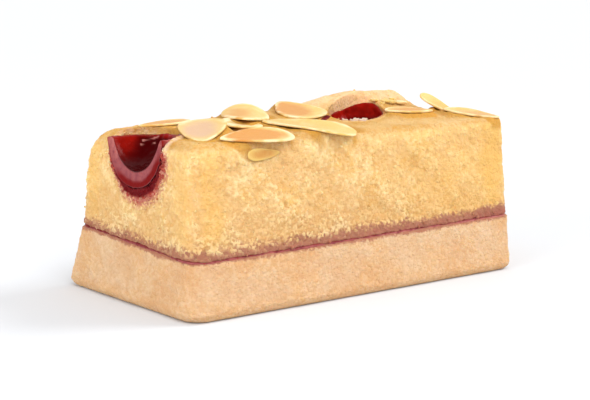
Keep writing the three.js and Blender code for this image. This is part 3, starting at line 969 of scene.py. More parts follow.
def sponge_surface(spacing, relief):
    """The sponge's shell with its crumb, moved along the shell's own facing, and with its
    crust raised to meet the almonds."""
    points, triangles = sponge_shell(spacing)
    facing = surface_normals(points, triangles)
    area = sponge_areas(points, facing)
    lift, ring, shade_band = almond_seats(points)
    height = crumb_height(points, area)
    points = points + facing * (relief * height)[:, None]
    points[:, 2] += lift * rise(facing[:, 2], 0.2, 0.6) * (1 - area.inside)
    return points, triangles, sponge_values(points, facing, area, height, ring, shade_band)


# The jam in the pockets

def half_turn(pocket):
    """Directions from a pocket's front round its right to its back, as angles between its own
    two axes where each is measured in its own radius."""
    turn = math.radians(pocket["turn"])
    last = math.atan2(pocket["radius_x"] * math.cos(turn), pocket["radius_y"] * math.sin(turn))
    return np.linspace(last - math.pi, last, HALF_TURN_LINES)


def cut_face(lines):
    """A flat face in even rows, from the hollow's edge along the first and the last line to
    the wall's edge along the same two."""
    near = lines[:, 0]
    far = lines[:, -1]
    half = len(lines) // 2
    above = np.concatenate([near[half::-1], far[1:half + 1]])
    low_near = near[len(lines) - 1 - half:]
    low_far = far[len(lines) - 1 - half:]
    below = np.concatenate([low_near, low_far[-2::-1]])
    return mix(above[None], below[None], np.linspace(0, 1, FACE_ROWS)[:, None, None])


def pool_shell(pocket, scoop, level, angles):
    """Lines across the jam in every direction: from the hollow's lowest point up its wall,
    out to the pocket's wall, and down that wall to its lowest point. Where a half turn is
    given, a flat face closes the cut side. Gives the points, the triangles and which points
    lie on that face."""
    across = np.cos(angles)[None, :]
    side = np.sin(angles)[None, :]
    level = np.interp(np.degrees(angles), *level)[None, :]
    rim = rim_height(pocket, side, across, level)
    share = np.linspace(0, 1, WALL_ROWS)[:, None]
    high, radius = pocket_profile(scoop, share, side, rim)
    hollow = np.stack([*pocket_place(scoop, across, side, radius), high + HEIGHT], -1)
    low, radius = pocket_profile(pocket, share[::-1], side, rim)
    radius = radius * POOL_SPREAD
    wall = np.stack([*pocket_place(pocket, across, side, radius), low + HEIGHT - 0.1], -1)
    steps = np.linspace(0, 1, LEDGE_ROWS + 2)[1:-1, None, None]
    ledge = mix(hollow[-1][None], wall[0][None], steps)
    lines = np.concatenate([hollow, ledge, wall])
    for _ in range(SMOOTHINGS):
        lines[1:-1] = (lines[:-2] + 2 * lines[1:-1] + lines[2:]) / 4
    closed = angles[-1] - angles[0] > 1.5 * math.pi
    if closed:
        lines = lines[:, :-1]
    points = lines.reshape(-1, 3)
    triangles = grid_triangles(*lines.shape[:2], closed)[:, ::-1]
    cut = np.zeros(len(points))
    if not closed:
        face = cut_face(lines)
        added = grid_triangles(*face.shape[:2])[:, ::-1] + len(points)
        points = np.concatenate([points, face.reshape(-1, 3)])
        triangles = np.concatenate([triangles, added])
        cut = np.concatenate([cut, np.ones(face.shape[0] * face.shape[1])])
    points = set_on_faces(points[:, 0], points[:, 1], points[:, 2])
    kept, triangles = weld(points, triangles)
    return points[kept], triangles, cut[kept]


def pool_surface(pocket, scoop, level, angles, relief):
    """The jam in a pocket with slow unevenness, small round seeds and low ridges that carry
    painted highlight lines, calmer on its cut face. It is thin at its far side and high up,
    and red along the face's edge."""
    points, triangles, cut = pool_shell(pocket, scoop, level, angles)
    facing = surface_normals(points, triangles)
    slow = layered_noise(points, *POOL_NOISE["slow"])
    seeds = 1 - rise(grains(points, *POOL_NOISE["seeds"]), 0.1, 0.6)
    # Painted highlight lines on low ridges of the jam.
    seam = np.zeros(len(points))
    for first, last in GLINT_LINES:
        seam = np.maximum(seam, 1 - rise(line_distance(points, first, last), 0.08, 0.3))
    height = stacked({"slow": slow, "seeds": seeds}, POOL_RELIEF) * (1 - 0.85 * cut)
    height = height + GLINT_RIDGE_HEIGHT * seam
    points = points + facing * (relief * height)[:, None]
    aside = points[:, 1] - scoop["y"] - 0.9 * (points[:, 0] - scoop["x"])
    thin = np.maximum(rise(aside, 1.0, 6.0), 0.8 * rise(points[:, 2], HEIGHT - 1.8, HEIGHT - 0.4))
    edge = pocket_distance(pocket, points)
    angle = np.degrees(np.arctan2(points[:, 2] - HEIGHT - 0.01, points[:, 1] - pocket["y"]))
    red_edge = rise(edge + 0.4 * slow, -1.5, -0.4) * np.interp(angle, *DARK_REACH)
    values = {
        # The cut face and the dull spots take the pale colour of painted sheen.
        "cut": np.maximum(cut, 0.75 * spot_cover(points, DULL_SHEEN_SPOTS)),
        "thin": thin * rise(points[:, 2], HEIGHT - scoop["depth"], HEIGHT - 0.3),
        "seam": seam, "red_edge": np.clip(red_edge, 0, 1) * cut,
    }
    return points, triangles, values


# The almonds

def almond_turn(turn, roll, pitch):
    """Turns about the long axis by roll, then about the cross axis by pitch, then about the
    upright one. The columns are the almond's own axes."""
    a, b, c = (math.radians(angle) for angle in (roll, pitch, turn))
    about_x = np.array([[1, 0, 0], [0, math.cos(a), -math.sin(a)], [0, math.sin(a), math.cos(a)]])
    about_y = np.array([[math.cos(b), 0, math.sin(b)], [0, 1, 0], [-math.sin(b), 0, math.cos(b)]])
    about_z = np.array([[math.cos(c), -math.sin(c), 0], [math.sin(c), math.cos(c), 0], [0, 0, 1]])
    return about_z @ about_y @ about_x


def almond_form(size, bends, thickness, rings, seed):
    """A thin oval pointed at one end, as rings from the middle of its upper side over its
    blunt edge to the middle of its lower side. Its height is half the thickness times the
    fifth root of one minus the radius share to the fourth power, plus the bends. The upper
    side is a little hollow inside a rim. Gives the points, the triangles, and each point's
    share of the radius, of the length and of the width."""
    rows, columns = rings
    share = np.sin(np.linspace(0, math.pi / 2, rows))
    share = np.concatenate([share, share[-2::-1]])[:, None]
    upper = np.where(np.arange(2 * rows - 1) < rows, 1.0, -1.0)[:, None]
    angle = np.linspace(0, 2 * math.pi, columns + 1)[:-1][None, :]
    along = share * np.cos(angle)
    across = share * np.sin(angle) * (1 - ALMOND_POINT * along)
    places = np.stack([along * 2.2, across * 2.2, np.full(along.shape, seed * 5.3)], -1)
    uneven = 1 + 0.035 * layered_noise(places, 1.1, seed) * share
    half = (1 - share ** 4) ** 0.2 * thickness / 2
    dish = 0.14 * thickness * (1 - rise(share, 0.72, 0.93)) * (upper > 0)
    grain = 0.05 * thickness * layered_noise(places, 0.45, seed + 7)
    bend = bends[0] * along ** 2 + bends[1] * across ** 2
    z = upper * (half - dish + grain * (1 - share ** 8)) + bend
    points = np.stack([along * uneven * size[0] / 2, across * uneven * size[1] / 2, z], -1)
    triangles = grid_triangles(len(share), columns, closed=True)[:, ::-1]
    kept, triangles = weld(points.reshape(-1, 3), triangles)
    inner = np.stack([np.broadcast_to(share, along.shape), along, across], -1)
    return points.reshape(-1, 3)[kept], triangles, inner.reshape(-1, 3)[kept]


def almond_values(inner, shades):
    """The share of the radius, and how toasted and pink each point is: a soft round place
    about the middle that the shades give."""
    toast, blush, along, across = shades
    near = 1 - rise(np.hypot(inner[:, 1] - along, inner[:, 2] - across), 0.3, 1.15)
    return {"share": inner[:, 0], "toast": toast * near, "blush": blush * near}


def almond_place(number):
    """The turn of an almond and the place of its middle. Its lowest point lies where its
    solid's does, less the depth by which it sinks into the crust."""
    size, spot, angles, bends, sink, _ = ALMONDS[number]
    turn = almond_turn(*angles)
    points, _, _ = almond_form(size, bends, ALMOND_THICKNESS, MEASURED_RINGS, number)
    low = (points @ turn.T)[:, 2].min()
    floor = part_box(f"almond_flake_{number + 1:02d}")[0].z / MM
    return turn, np.array([spot[0], spot[1], floor - low - sink])


def chip_surface(chips):
    """Broken bits lying on the crust: short thin ovals, each turned by its own angle and
    tilted by its place in the list. A longer one lies higher, and one beside the second
    pocket lower, where the lip takes some of the top away."""
    parts = []
    count = 0
    for number, (x, y, length, angle, thickness) in enumerate(chips):
        size = (length, CHIP_WIDTH * length)
        form = almond_form(size, CHIP_BENDS, thickness, CHIP_RINGS, CHIP_SEED + number)
        points, triangles, inner = form
        turn = almond_turn(angle, 6.0, 10.0 - 4.0 * (number % 5))
        middle = np.array([x, y, HEIGHT + top_swell(np.array(x), np.array(y))])
        beside = 1 - rise(pocket_distance(TOP_POCKET, middle[None])[0], 0.5, 3.0)
        middle[2] += 0.1 + 0.05 * length - 0.5 * beside
        parts.append((points @ turn.T + middle, triangles + count, inner))
        count += len(points)
    return tuple(np.concatenate(column) for column in zip(*parts))


# Loose crumbs

def ball(level):
    """The points and triangles of a ball made of even triangles."""
    form = bmesh.new()
    bmesh.ops.create_icosphere(form, subdivisions=level, radius=1.0)
    points = np.array([vertex.co[:] for vertex in form.verts])
    triangles = np.array([[vertex.index for vertex in face.verts] for face in form.faces])
    form.free()
    return points, triangles


def scattered_lumps(spots, sizes, seed):
    """One uneven ball at each spot: its points moved in or out by noise, stretched by chance
    along three axes and turned by chance."""
    chance = np.random.default_rng(seed)
    points, triangles = ball(2)
    count = len(spots)
    stretch = chance.uniform(0.65, 1.25, (count, 1, 3))
    axes = np.linalg.qr(chance.normal(size=(count, 3, 3)))[0]
    places = points[None] + chance.uniform(0, 60, (count, 1, 3))
    uneven = 1 + 0.45 * smooth_noise(places, 0.8, seed)
    lumps = np.einsum("nij,nkj->nki", axes, points[None] * uneven[..., None] * stretch)
    lumps = lumps * sizes[:, None, None] + spots[:, None, :]
    numbers = triangles[None] + (np.arange(count) * len(points))[:, None, None]
    return lumps.reshape(-1, 3), numbers.reshape(-1, 3)


def stored_surface(mesh):
    """The points of a finished piece in millimetres, and its values for each point."""
    points = np.empty(len(mesh.vertices) * 3)
    mesh.vertices.foreach_get("co", points)
    values = {}
    for layer in mesh.attributes:
        if layer.data_type == "FLOAT" and not layer.is_internal:
            values[layer.name] = np.empty(len(mesh.vertices))
            layer.data.foreach_get("value", values[layer.name])
    return points.reshape(-1, 3) / MM, values


def crumb_weights(points):
    """How likely a loose crumb clings to each point of the sponge: likelier at the pockets'
    rims, just above the jam and on pink crumb, seldom on top, and never at the plain end, in
    the jam or at the last point, which is the middle of the underside."""
    rims = np.minimum(np.abs(pocket_distance(END_POCKET, points)),
                      np.abs(pocket_distance(TOP_POCKET, points)))
    above_jam = points[:, 2] - jam_middle(points[:, 0], points[:, 1])
    pink, dark = jam_stain(points)
    weight = 0.12 + 0.6 * (rims < 1.0) + (above_jam < 1.5) + 5.0 * pink * (1 - dark)
    weight = weight * (above_jam > 0.3) * (points[:, 0] < LENGTH / 2 - 4)
    weight = weight * (1 - 0.9 * (points[:, 2] > HEIGHT - 0.5))
    weight[-1] = 0
    return weight / weight.sum()


# Materials

def add_node(tree, kind, inputs, **settings):
    """Adds a shader node, sets it up and gives each named or numbered input a value or a
    link from another node's output."""
    made = tree.nodes.new(kind)
    for name, value in settings.items():
        setattr(made, name, value)
    for name, value in inputs.items():
        if isinstance(value, bpy.types.NodeSocket):
            tree.links.new(value, made.inputs[name])
        else:
            made.inputs[name].default_value = value
    return made


def blend_colours(tree, share, first, second):
    """The colour that lies a share of the way from the first to the second."""
    inputs = {0: share, 6: first, 7: second}
    return add_node(tree, "ShaderNodeMix", inputs, data_type="RGBA").outputs[2]


def calculate(tree, operation, first, second):
    """The sum, difference or product of two values."""
    inputs = {0: first, 1: second}
    return add_node(tree, "ShaderNodeMath", inputs, operation=operation).outputs[0]


def over_grain(tree, value, strength, grain):
    """How far a value times strength stands above the grain."""
    return calculate(tree, "SUBTRACT", calculate(tree, "MULTIPLY", value, strength), grain)


def ramp(tree, value, low, high):
    """A smooth step of a value from 0 at low to 1 at high."""
    inputs = {0: value, 1: low, 2: high, 3: 0.0, 4: 1.0}
    kind = "ShaderNodeMapRange"
    return add_node(tree, kind, inputs, interpolation_type="SMOOTHSTEP").outputs[0]


def noise(tree, place, cell, detail, rough=0.55):
    """Noise from 0 to 1 whose patches are about one cell, given in millimetres, across."""
    inputs = {"Vector": place, "Scale": 1 / (cell * MM), "Detail": detail, "Roughness": rough}
    return add_node(tree, "ShaderNodeTexNoise", inputs).outputs[0]


def value_of(tree, name):
    """One of the values that the mesh stores for each point."""
    return add_node(tree, "ShaderNodeAttribute", {}, attribute_name=name).outputs["Fac"]


def rgba(colour):
    """A colour of three numbers with a fourth one that makes it solid."""
    return (*colour, 1.0)


def start_material(name):
    """A new material's node tree, cleared, with the place in the object as an output."""
    material = bpy.data.materials.new(name)
    material.use_nodes = True
    tree = material.node_tree
    tree.nodes.clear()
    place = add_node(tree, "ShaderNodeTexCoord", {}).outputs["Object"]
    return material, tree, place


def finish_material(tree, height, distance, shader):
    """Puts the small relief and the surface together. The distance is in millimetres."""
    bump = add_node(tree, "ShaderNodeBump", {"Height": height, "Distance": distance * MM})
    shader["Normal"] = bump.outputs[0]
    surface = add_node(tree, "ShaderNodeBsdfPrincipled", shader)
    add_node(tree, "ShaderNodeOutputMaterial", {"Surface": surface.outputs[0]})


def crumb_cells(tree, place, cell, seed):
    """Small uneven cells, each with its own value from 0 to 1, and how far a place lies from
    the middle of its cell."""
    drift = add_node(tree, "ShaderNodeTexNoise", {
        "Vector": place, "Scale": 1.3 / (cell * MM), "Detail": 2.0}).outputs["Color"]
    moved = add_node(tree, "ShaderNodeVectorMath", {
        0: drift, 1: (0.9 * cell * MM,) * 3, 2: place}, operation="MULTIPLY_ADD").outputs[0]
    moved = add_node(tree, "ShaderNodeVectorMath", {
        0: moved, 1: (seed * 0.0137,) * 3}, operation="ADD").outputs[0]
    cells = add_node(tree, "ShaderNodeTexVoronoi", {"Vector": moved, "Scale": 1 / (cell * MM)})
    return cells.outputs["Color"], cells.outputs["Distance"]


def overlay(tree, share, strength, below, colour):
    """Lays a colour over another one, by a share that is weakened by strength."""
    return blend_colours(tree, calculate(tree, "MULTIPLY", share, strength), below, rgba(colour))


def crust_and_stain(tree, place, colours, colour, grain, small):
    """What only the sponge has, laid over the colour of its crumb one after the other: golden
    edges, crust, brown spots on the swelling, strips of painted shadow by the almonds, sugar,
    and the stains of the jam, whose edges follow the grain; the darkest stain carries the
    painted shade of a slit too."""
    colour = overlay(tree, value_of(tree, "gold"), 0.75, colour, colours["gold"])
    colour = blend_colours(tree, value_of(tree, "bake"), colour, rgba(colours["crust"]))
    spots = ramp(tree, noise(tree, place, *CRUMB_PATTERN["spots"]), 0.1, 0.55)
    hump = calculate(tree, "MULTIPLY", value_of(tree, "hump"), spots)
    colour = blend_colours(tree, hump, colour, rgba(colours["brown"]))
    # Painted shadow beside the almonds.
    colour = overlay(tree, value_of(tree, "shade_band"), 0.85, colour, colours["shade_band"])
    sugar = ramp(tree, noise(tree, place, *CRUMB_PATTERN["sugar"]), 0.3, 0.6)
    frost = calculate(tree, "MULTIPLY", value_of(tree, "frost"), sugar)
    colour = blend_colours(tree, frost, colour, rgba(colours["frost"]))
    stain = value_of(tree, "stain")
    wet = over_grain(tree, stain, 2.2, small)
    colour = blend_colours(tree, ramp(tree, wet, 0.0, 0.9), colour, rgba(colours["pink"]))
    wet = over_grain(tree, stain, 1.6, grain)
    colour = overlay(tree, ramp(tree, wet, 0.0, 0.8), 0.9, colour, colours["red"])
    # Dark jam stain, and the painted shade of the slit.
    dark = ramp(tree, value_of(tree, "dark"), 0.0, 0.35)
    return blend_colours(tree, dark, colour, rgba(colours["dark"]))


def crumb_material(name, colours, depth, contrast):
    """Baked crumb: a mosaic of small cream and tan grains with soft golden patches, with painted
    shade in its pits, darker lower down, and pink-brown where jam has soaked in from the layer.
    Fine grain comes as small relief. Depth is how dark the painted shade in the pits is,
    contrast how much the grains differ."""
    material, tree, place = start_material(name)
    patches = ramp(tree, noise(tree, place, *CRUMB_PATTERN["patches"]), 0.4, 0.66)
    colour = blend_colours(tree, patches, rgba(colours["pale"]), rgba(colours["golden"]))
    low = ramp(tree, value_of(tree, "low"), 0.0, 1.0)
    colour = overlay(tree, low, 0.75, colour, colours["tan"])
    # Paler upper crumb, with painted light on faces turned to the left.
    if "high" in colours:
        colour = overlay(tree, value_of(tree, "high"), 0.7, colour, colours["high"])
    grain, middle = crumb_cells(tree, place, *GRAIN_CELLS)
    small, _ = crumb_cells(tree, place, *SMALL_GRAIN_CELLS)
    clumps = ramp(tree, noise(tree, place, *CRUMB_PATTERN["clumps"]), 0.3, 0.7)
    dull = calculate(tree, "SUBTRACT", 1.0, ramp(tree, grain, 0.25, 0.5))
    colour = overlay(tree, calculate(tree, "MULTIPLY", dull, clumps), 0.75 * contrast,
                     colour, colours["dull_and_pit_shade"])
    colour = overlay(tree, ramp(tree, grain, 0.45, 0.7), contrast, colour, colours["light"])
    colour = overlay(tree, ramp(tree, small, 0.55, 0.8), 0.6 * contrast, colour, colours["light"])
    # Painted shade in the pits.
    pits = ramp(tree, value_of(tree, "pit_shade"), 0.45, 1.0)
    colour = overlay(tree, pits, depth, colour, colours["dull_and_pit_shade"])
    if "crust" in colours:
        colour = crust_and_stain(tree, place, colours, colour, grain, small)
    soak = value_of(tree, "soak")
    soaked = ramp(tree, over_grain(tree, soak, 2.2, grain), 0.0, 1.05)
    colour = blend_colours(tree, soaked, colour, rgba(colours["soaked"]))
    wet = calculate(tree, "SUBTRACT", soak, calculate(tree, "MULTIPLY", grain, 0.45))
    colour = overlay(tree, ramp(tree, wet, 0.45, 0.9), 0.6, colour, colours["seam"])
    fine = noise(tree, place, *CRUMB_PATTERN["fine"])
    relief = calculate(tree, "SUBTRACT", fine, calculate(tree, "MULTIPLY", middle, 0.5))
    finish_material(tree, relief, distance=0.5, shader={
        "Base Color": colour, "Roughness": 0.72, "Subsurface Weight": 0.35,
        "Subsurface Radius": (1.0, 0.55, 0.25), "Subsurface Scale": 0.0006,
        "Specular IOR Level": 0.12,
    })
    return material


def jam_material(name, colours):
    """Cooked raspberry: dark and glossy, redder where it is thin, dull where cut and painted
    there with a pale mauve sheen, with painted highlight lines and a red edge to the cut."""
    material, tree, place = start_material(name)
    patches = ramp(tree, noise(tree, place, *JAM_PATTERN["patches"]), 0.35, 0.75)
    patches = calculate(tree, "ADD", calculate(tree, "MULTIPLY", patches, 0.5), 0.6)
    thin = calculate(tree, "MULTIPLY", value_of(tree, "thin"), patches)
    colour = blend_colours(tree, thin, rgba(colours["dark"]), rgba(colours["bright"]))
    pulp = ramp(tree, noise(tree, place, *JAM_PATTERN["pulp"]), 0.3, 0.62)
    cut = value_of(tree, "cut")
    rosy = calculate(tree, "MULTIPLY", pulp, ramp(tree, value_of(tree, "thin"), -0.4, 0.6))
    # Pale mauve on the cut face: painted sheen.
    faced = blend_colours(tree, rosy, rgba(colours["cut_sheen_dark"]), rgba(colours["cut"]))
    specks = ramp(tree, noise(tree, place, *JAM_PATTERN["specks"]), 0.6, 0.68)
    faced = overlay(tree, specks, 0.5, faced, colours["bright"])
    colour = blend_colours(tree, cut, colour, faced)
    colour = overlay(tree, value_of(tree, "red_edge"), 1.0, colour, colours["edge"])
    # Painted highlight lines and glints.
    colour = overlay(tree, value_of(tree, "seam"), 0.75, colour, colours["seam"])
    dull = calculate(tree, "MULTIPLY", cut, 0.4)
    roughness = calculate(tree, "ADD", dull, 0.14)
    ripple = noise(tree, place, *JAM_PATTERN["ripple"])
    finish_material(tree, ripple, distance=0.12, shader={
        "Base Color": colour, "Roughness": roughness, "Specular IOR Level": 0.04,
        "Specular Tint": (1.0, 0.12, 0.1, 1.0),
    })
    return material


def almond_material(name, colours):
    """Sliced nut: warm ivory with a paler rim here and there, and soft places inside toasted
    amber or faintly pink. Fine streaks come as small relief."""
    material, tree, place = start_material(name)
    clouds = ramp(tree, noise(tree, place, *ALMOND_PATTERN["clouds"]), 0.25, 0.6)
    colour = blend_colours(tree, clouds, rgba(colours["nut"]), rgba(colours["warm"]))
    uneven = calculate(tree, "ADD", calculate(tree, "MULTIPLY", clouds, 0.4), 0.7)
    blush = calculate(tree, "MULTIPLY", value_of(tree, "blush"), uneven)
    colour = blend_colours(tree, blush, colour, rgba(colours["blush"]))
    toast = calculate(tree, "MULTIPLY", value_of(tree, "toast"), uneven)
    colour = blend_colours(tree, toast, colour, rgba(colours["toast"]))
    rim = ramp(tree, value_of(tree, "share"), 0.78, 0.97)
    parts = ramp(tree, noise(tree, place, *ALMOND_PATTERN["parts"]), 0.4, 0.6)
    colour = blend_colours(tree, calculate(tree, "MULTIPLY", rim, parts), colour,
                           rgba(colours["rim"]))
    streaks = noise(tree, place, *ALMOND_PATTERN["streaks"])
    finish_material(tree, streaks, distance=0.12, shader={
        "Base Color": colour, "Roughness": 0.42, "Subsurface Weight": 0.35,
        "Subsurface Radius": (1.0, 0.7, 0.35), "Subsurface Scale": 0.001,
        "Specular IOR Level": 0.3,
    })
    return material


# Settings that a user may change

def colour_property(name, description, default):
    """A colour that the user can pick."""
    return FloatVectorProperty(
        name=name, description=description, subtype="COLOR", size=3, min=0.0, max=1.0,
        default=default,
    )


class TraybakeShape(bpy.types.PropertyGroup):
    """How fine and how rough the surfaces are."""

    spacing: FloatProperty(
        name="Sponge grid", description="Distance between the points of the sponge",
        default=0.00034, min=0.0003, max=0.002, unit="LENGTH", precision=5,
    )
    base_spacing: FloatProperty(
        name="Base grid", description="Distance between the points of the base",
        default=0.0003, min=0.00025, max=0.002, unit="LENGTH", precision=5,
    )
    relief: FloatProperty(
        name="Crumb relief", description="Depth of the crumb as a share of its usual depth",
        default=1.0, min=0.0, max=2.0, subtype="FACTOR",
    )
    jam_relief: FloatProperty(
        name="Jam relief", description="Height of the lumps in the jam as a share of the usual",
        default=1.0, min=0.0, max=2.0, subtype="FACTOR",
    )
    crumbs: IntProperty(
        name="Loose crumbs", description="Number of loose crumbs on the slice",
        default=900, min=1, max=2000,
    )
    seed: IntProperty(
        name="Seed", description="Start of the chance by which crumbs fall", default=7, min=0,
    )


class TraybakeColours(bpy.types.PropertyGroup):
    """The colours of the crumb, the jam and the almonds."""

    crumb_pale: colour_property("Crumb", "Inside of the sponge", (0.82, 0.55, 0.25))
    crumb_golden: colour_property("Golden patches", "Soft patches in it", (0.8, 0.48, 0.155))
    crumb_light: colour_property("Light flecks", "Light flecks in it", (0.91, 0.7, 0.37))
    # The colour of dull grains and of the painted shade in the pits.
    crumb_dull_and_pit_shade: colour_property("Pits", "Deep places in the sponge", (0.68, 0.37, 0.13))
    crust: colour_property("Crust", "Baked top", (0.53, 0.26, 0.05))
    crust_brown: colour_property("Brown crust", "Where the top swells", (0.86, 0.54, 0.28))
    crumb_tan: colour_property("Lower crumb", "Towards the jam layer", (0.5, 0.28, 0.125))
    # The colour of the upper crumb, and of the painted light on faces turned to the left.
    crumb_high: colour_property("Upper crumb", "Towards the top edge", (0.96, 0.73, 0.32))
    crumb_frost: colour_property("Sugary crumb", "Pale sugary places", (0.84, 0.58, 0.42))
    # The colour of the painted shadow beside the almonds.
    crust_shade_band: colour_property("Crust by almonds", "Beside the almonds", (0.6, 0.29, 0.045))
    soaked: colour_property("Soaked crumb", "Crumb with jam soaked in", (0.4, 0.17, 0.1))
    seam: colour_property("Jam seam", "Crumb against the jam", (0.36, 0.1, 0.075))
    stained: colour_property("Red crumb", "Crumb dyed by jam", (0.38, 0.035, 0.025))
    # Also the colour of the painted shade in the slit.
    stained_dark: colour_property("Dark crumb", "Crumb full of jam", (0.15, 0.003, 0.005))
    stained_pale: colour_property("Pink crumb", "Crumb tinged by jam", (0.6, 0.25, 0.18))
    gold: colour_property("Golden edges", "Beside the upright edges", (0.8, 0.46, 0.125))
    short_pale: colour_property("Base", "Crumb of the base", (0.68, 0.45, 0.26))
    short_golden: colour_property("Baked base", "Darker patches in it", (0.68, 0.4, 0.19))
    short_light: colour_property("Light base", "Light flecks in it", (0.77, 0.56, 0.36))
    # The colour of the base's dull grains and of the painted shade in its pits.
    short_dull_and_pit_shade: colour_property("Base pits", "Deep places in it", (0.6, 0.31, 0.14))
    jam_dark: colour_property("Jam", "Thick jam", (0.042, 0.0004, 0.0008))
    jam_bright: colour_property("Thin jam", "Thin jam", (0.32, 0.007, 0.003))
    # Colours of the painted sheen on cut jam, lighter and darker.
    jam_cut_sheen: colour_property("Cut jam", "Where the knife went through", (0.42, 0.13, 0.115))
    jam_cut_sheen_dark: colour_property("Cut jam, dark", "Darker parts of it", (0.22, 0.05, 0.06))
    jam_edge: colour_property("Red edge", "Below the cut jam", (0.16, 0.005, 0.005))
    # The colour of the painted highlight lines and glints on the jam.
    jam_glint: colour_property("Pale seam", "Thin seams in the jam", (0.56, 0.22, 0.18))
    nut: colour_property("Almond", "Inside of the almonds", (0.7, 0.51, 0.19))
    nut_warm: colour_property("Warm almond", "Soft patches in them", (0.67, 0.45, 0.125))
    nut_rim: colour_property("Almond rim", "Edge of the almonds", (0.84, 0.65, 0.37))
    nut_toast: colour_property("Toasted almond", "Toasted inside", (0.58, 0.26, 0.055))
    nut_blush: colour_property("Stained almond", "Inside near jam", (0.59, 0.37, 0.22))
    lump: colour_property("Pale lumps", "Lumps beside the jam", (0.6, 0.44, 0.34))


class TraybakeStage(bpy.types.PropertyGroup):
    """The ground, the light and the camera."""

    sky: FloatProperty(
        name="Sky", description="Strength of the even light", default=0.9, min=0.0, max=5.0,
    )
    glow: FloatProperty(
        name="Ground glow", description="How much the ground itself shines", default=0.02,
        min=0.0, max=1.0,
    )
    key: FloatProperty(
        name="Key light", description="Strength of the soft light from the right",
        default=1.75, min=0.0, max=20.0,
    )
    fill: FloatProperty(
        name="Fill light", description="Strength of the soft light from the front",
        default=1.3, min=0.0, max=20.0,
    )
    panel: FloatProperty(
        name="Side panel", description="Power of the panel that lights the cut end",
        default=1.15, min=0.0, max=20.0, unit="POWER",
    )
    lens: FloatProperty(
        name="Lens", description="Focal length of the camera", default=87.67, min=20.0,
        max=200.0, unit="CAMERA",
    )
    distance: FloatProperty(
        name="Camera distance", description="From the camera to the slice",
        default=0.316738, min=0.1, max=2.0, unit="LENGTH",
    )


# The settings that colour each finish, by the names that its material knows them by.
CRUMB_COLOURS = {
    "pale": "crumb_pale", "golden": "crumb_golden", "light": "crumb_light",
    "dull_and_pit_shade": "crumb_dull_and_pit_shade", "tan": "crumb_tan", "high": "crumb_high", "crust": "crust",
    "brown": "crust_brown", "shade_band": "crust_shade_band", "frost": "crumb_frost", "soaked": "soaked",
    "seam": "seam", "red": "stained", "dark": "stained_dark", "pink": "stained_pale",
    "gold": "gold",
}
BASE_COLOURS = {
    "pale": "short_pale", "golden": "short_golden", "light": "short_light",
    "dull_and_pit_shade": "short_dull_and_pit_shade", "tan": "short_golden", "soaked": "soaked", "seam": "seam",
}
JAM_COLOURS = {
    "dark": "jam_dark", "bright": "jam_bright", "cut": "jam_cut_sheen", "cut_sheen_dark": "jam_cut_sheen_dark",
    "seam": "jam_glint", "edge": "jam_edge",
}
ALMOND_COLOURS = {
    "nut": "nut", "warm": "nut_warm", "rim": "nut_rim", "toast": "nut_toast",
    "blush": "nut_blush",
}
LUMP_COLOURS = dict.fromkeys(ALMOND_COLOURS, "lump")

# Each finish: what makes it, its colours, and for crumb how dark its painted pit shade is and its
# contrast.
FINISHES = {
    "baked_base": (crumb_material, BASE_COLOURS, 0.4, 0.35),
    "almond_crumb": (crumb_material, CRUMB_COLOURS, 0.6, 0.7),
    "raspberry_jam": (jam_material, JAM_COLOURS),
    "flaked_almond": (almond_material, ALMOND_COLOURS),
    "pale_lumps": (almond_material, LUMP_COLOURS),
}


def shared_material(context, name):
    """The material of this name, made the first time that it is asked for."""
    make, names, *details = FINISHES[name]
    colours = context.scene.traybake_colours
    look = {key: getattr(colours, setting) for key, setting in names.items()}
    return bpy.data.materials.get(name) or make(name, look, *details)


# Ground and lights

def add_object(name, data, place=(0.0, 0.0, 0.0), facing=None):
    """Puts an object in the scene at a place, turned to look along facing if that is given."""
    made = bpy.data.objects.new(name, data)
    made.location = place
    if facing is not None:
        made.rotation_euler = facing.to_track_quat("-Z", "Y").to_euler()
    bpy.context.scene.collection.objects.link(made)
    return made


def ground_mesh(glow):
    """A wide level square in dull white that shines a little of its own."""
    mesh = bpy.data.meshes.new("ground")
    corners = ((-1, -1), (1, -1), (1, 1), (-1, 1))
    corners = [(x * GROUND_REACH, y * GROUND_REACH, 0) for x, y in corners]
    mesh.from_pydata(corners, [], [(0, 1, 2, 3)])
    material, tree, _ = start_material("white_ground")
    surface = add_node(tree, "ShaderNodeBsdfPrincipled", {
        "Base Color": GROUND_COLOUR, "Roughness": 0.9, "Specular IOR Level": 0.1,
        "Emission Color": (1.0, 1.0, 1.0, 1.0), "Emission Strength": glow,
    })
    add_node(tree, "ShaderNodeOutputMaterial", {"Surface": surface.outputs[0]})
    mesh.materials.append(material)
    return mesh


def studio_world(strength):
    """Even white light from all round."""
    world = bpy.data.worlds.new("studio")
    world.use_nodes = True
    background = world.node_tree.nodes["Background"]
    background.inputs["Color"].default_value = (1, 1, 1, 1)
    background.inputs["Strength"].default_value = strength
    return world


# Operators

class TRAYBAKE_OT_base(bpy.types.Operator):
    """Build the shortbread base"""

    bl_idname = "traybake.base"
    bl_label = "Base"

    def execute(self, context):
        shape = context.scene.traybake_shape
        points, triangles, values = base_surface(shape.base_spacing / MM, shape.relief)
        material = shared_material(context, "baked_base")
        add_piece("base", points, triangles, values, material, ("shortbread_base",))
        return {"FINISHED"}


class TRAYBAKE_OT_jam_layer(bpy.types.Operator):
    """Build the thin layer of jam between base and sponge"""

    bl_idname = "traybake.jam_layer"
    bl_label = "Jam layer"

    def execute(self, context):
        points, triangles, values = jam_layer_surface(JAM_SPACING)
        material = shared_material(context, "raspberry_jam")
        add_piece("jam_line", points, triangles, values, material, ("jam_layer",))
        return {"FINISHED"}


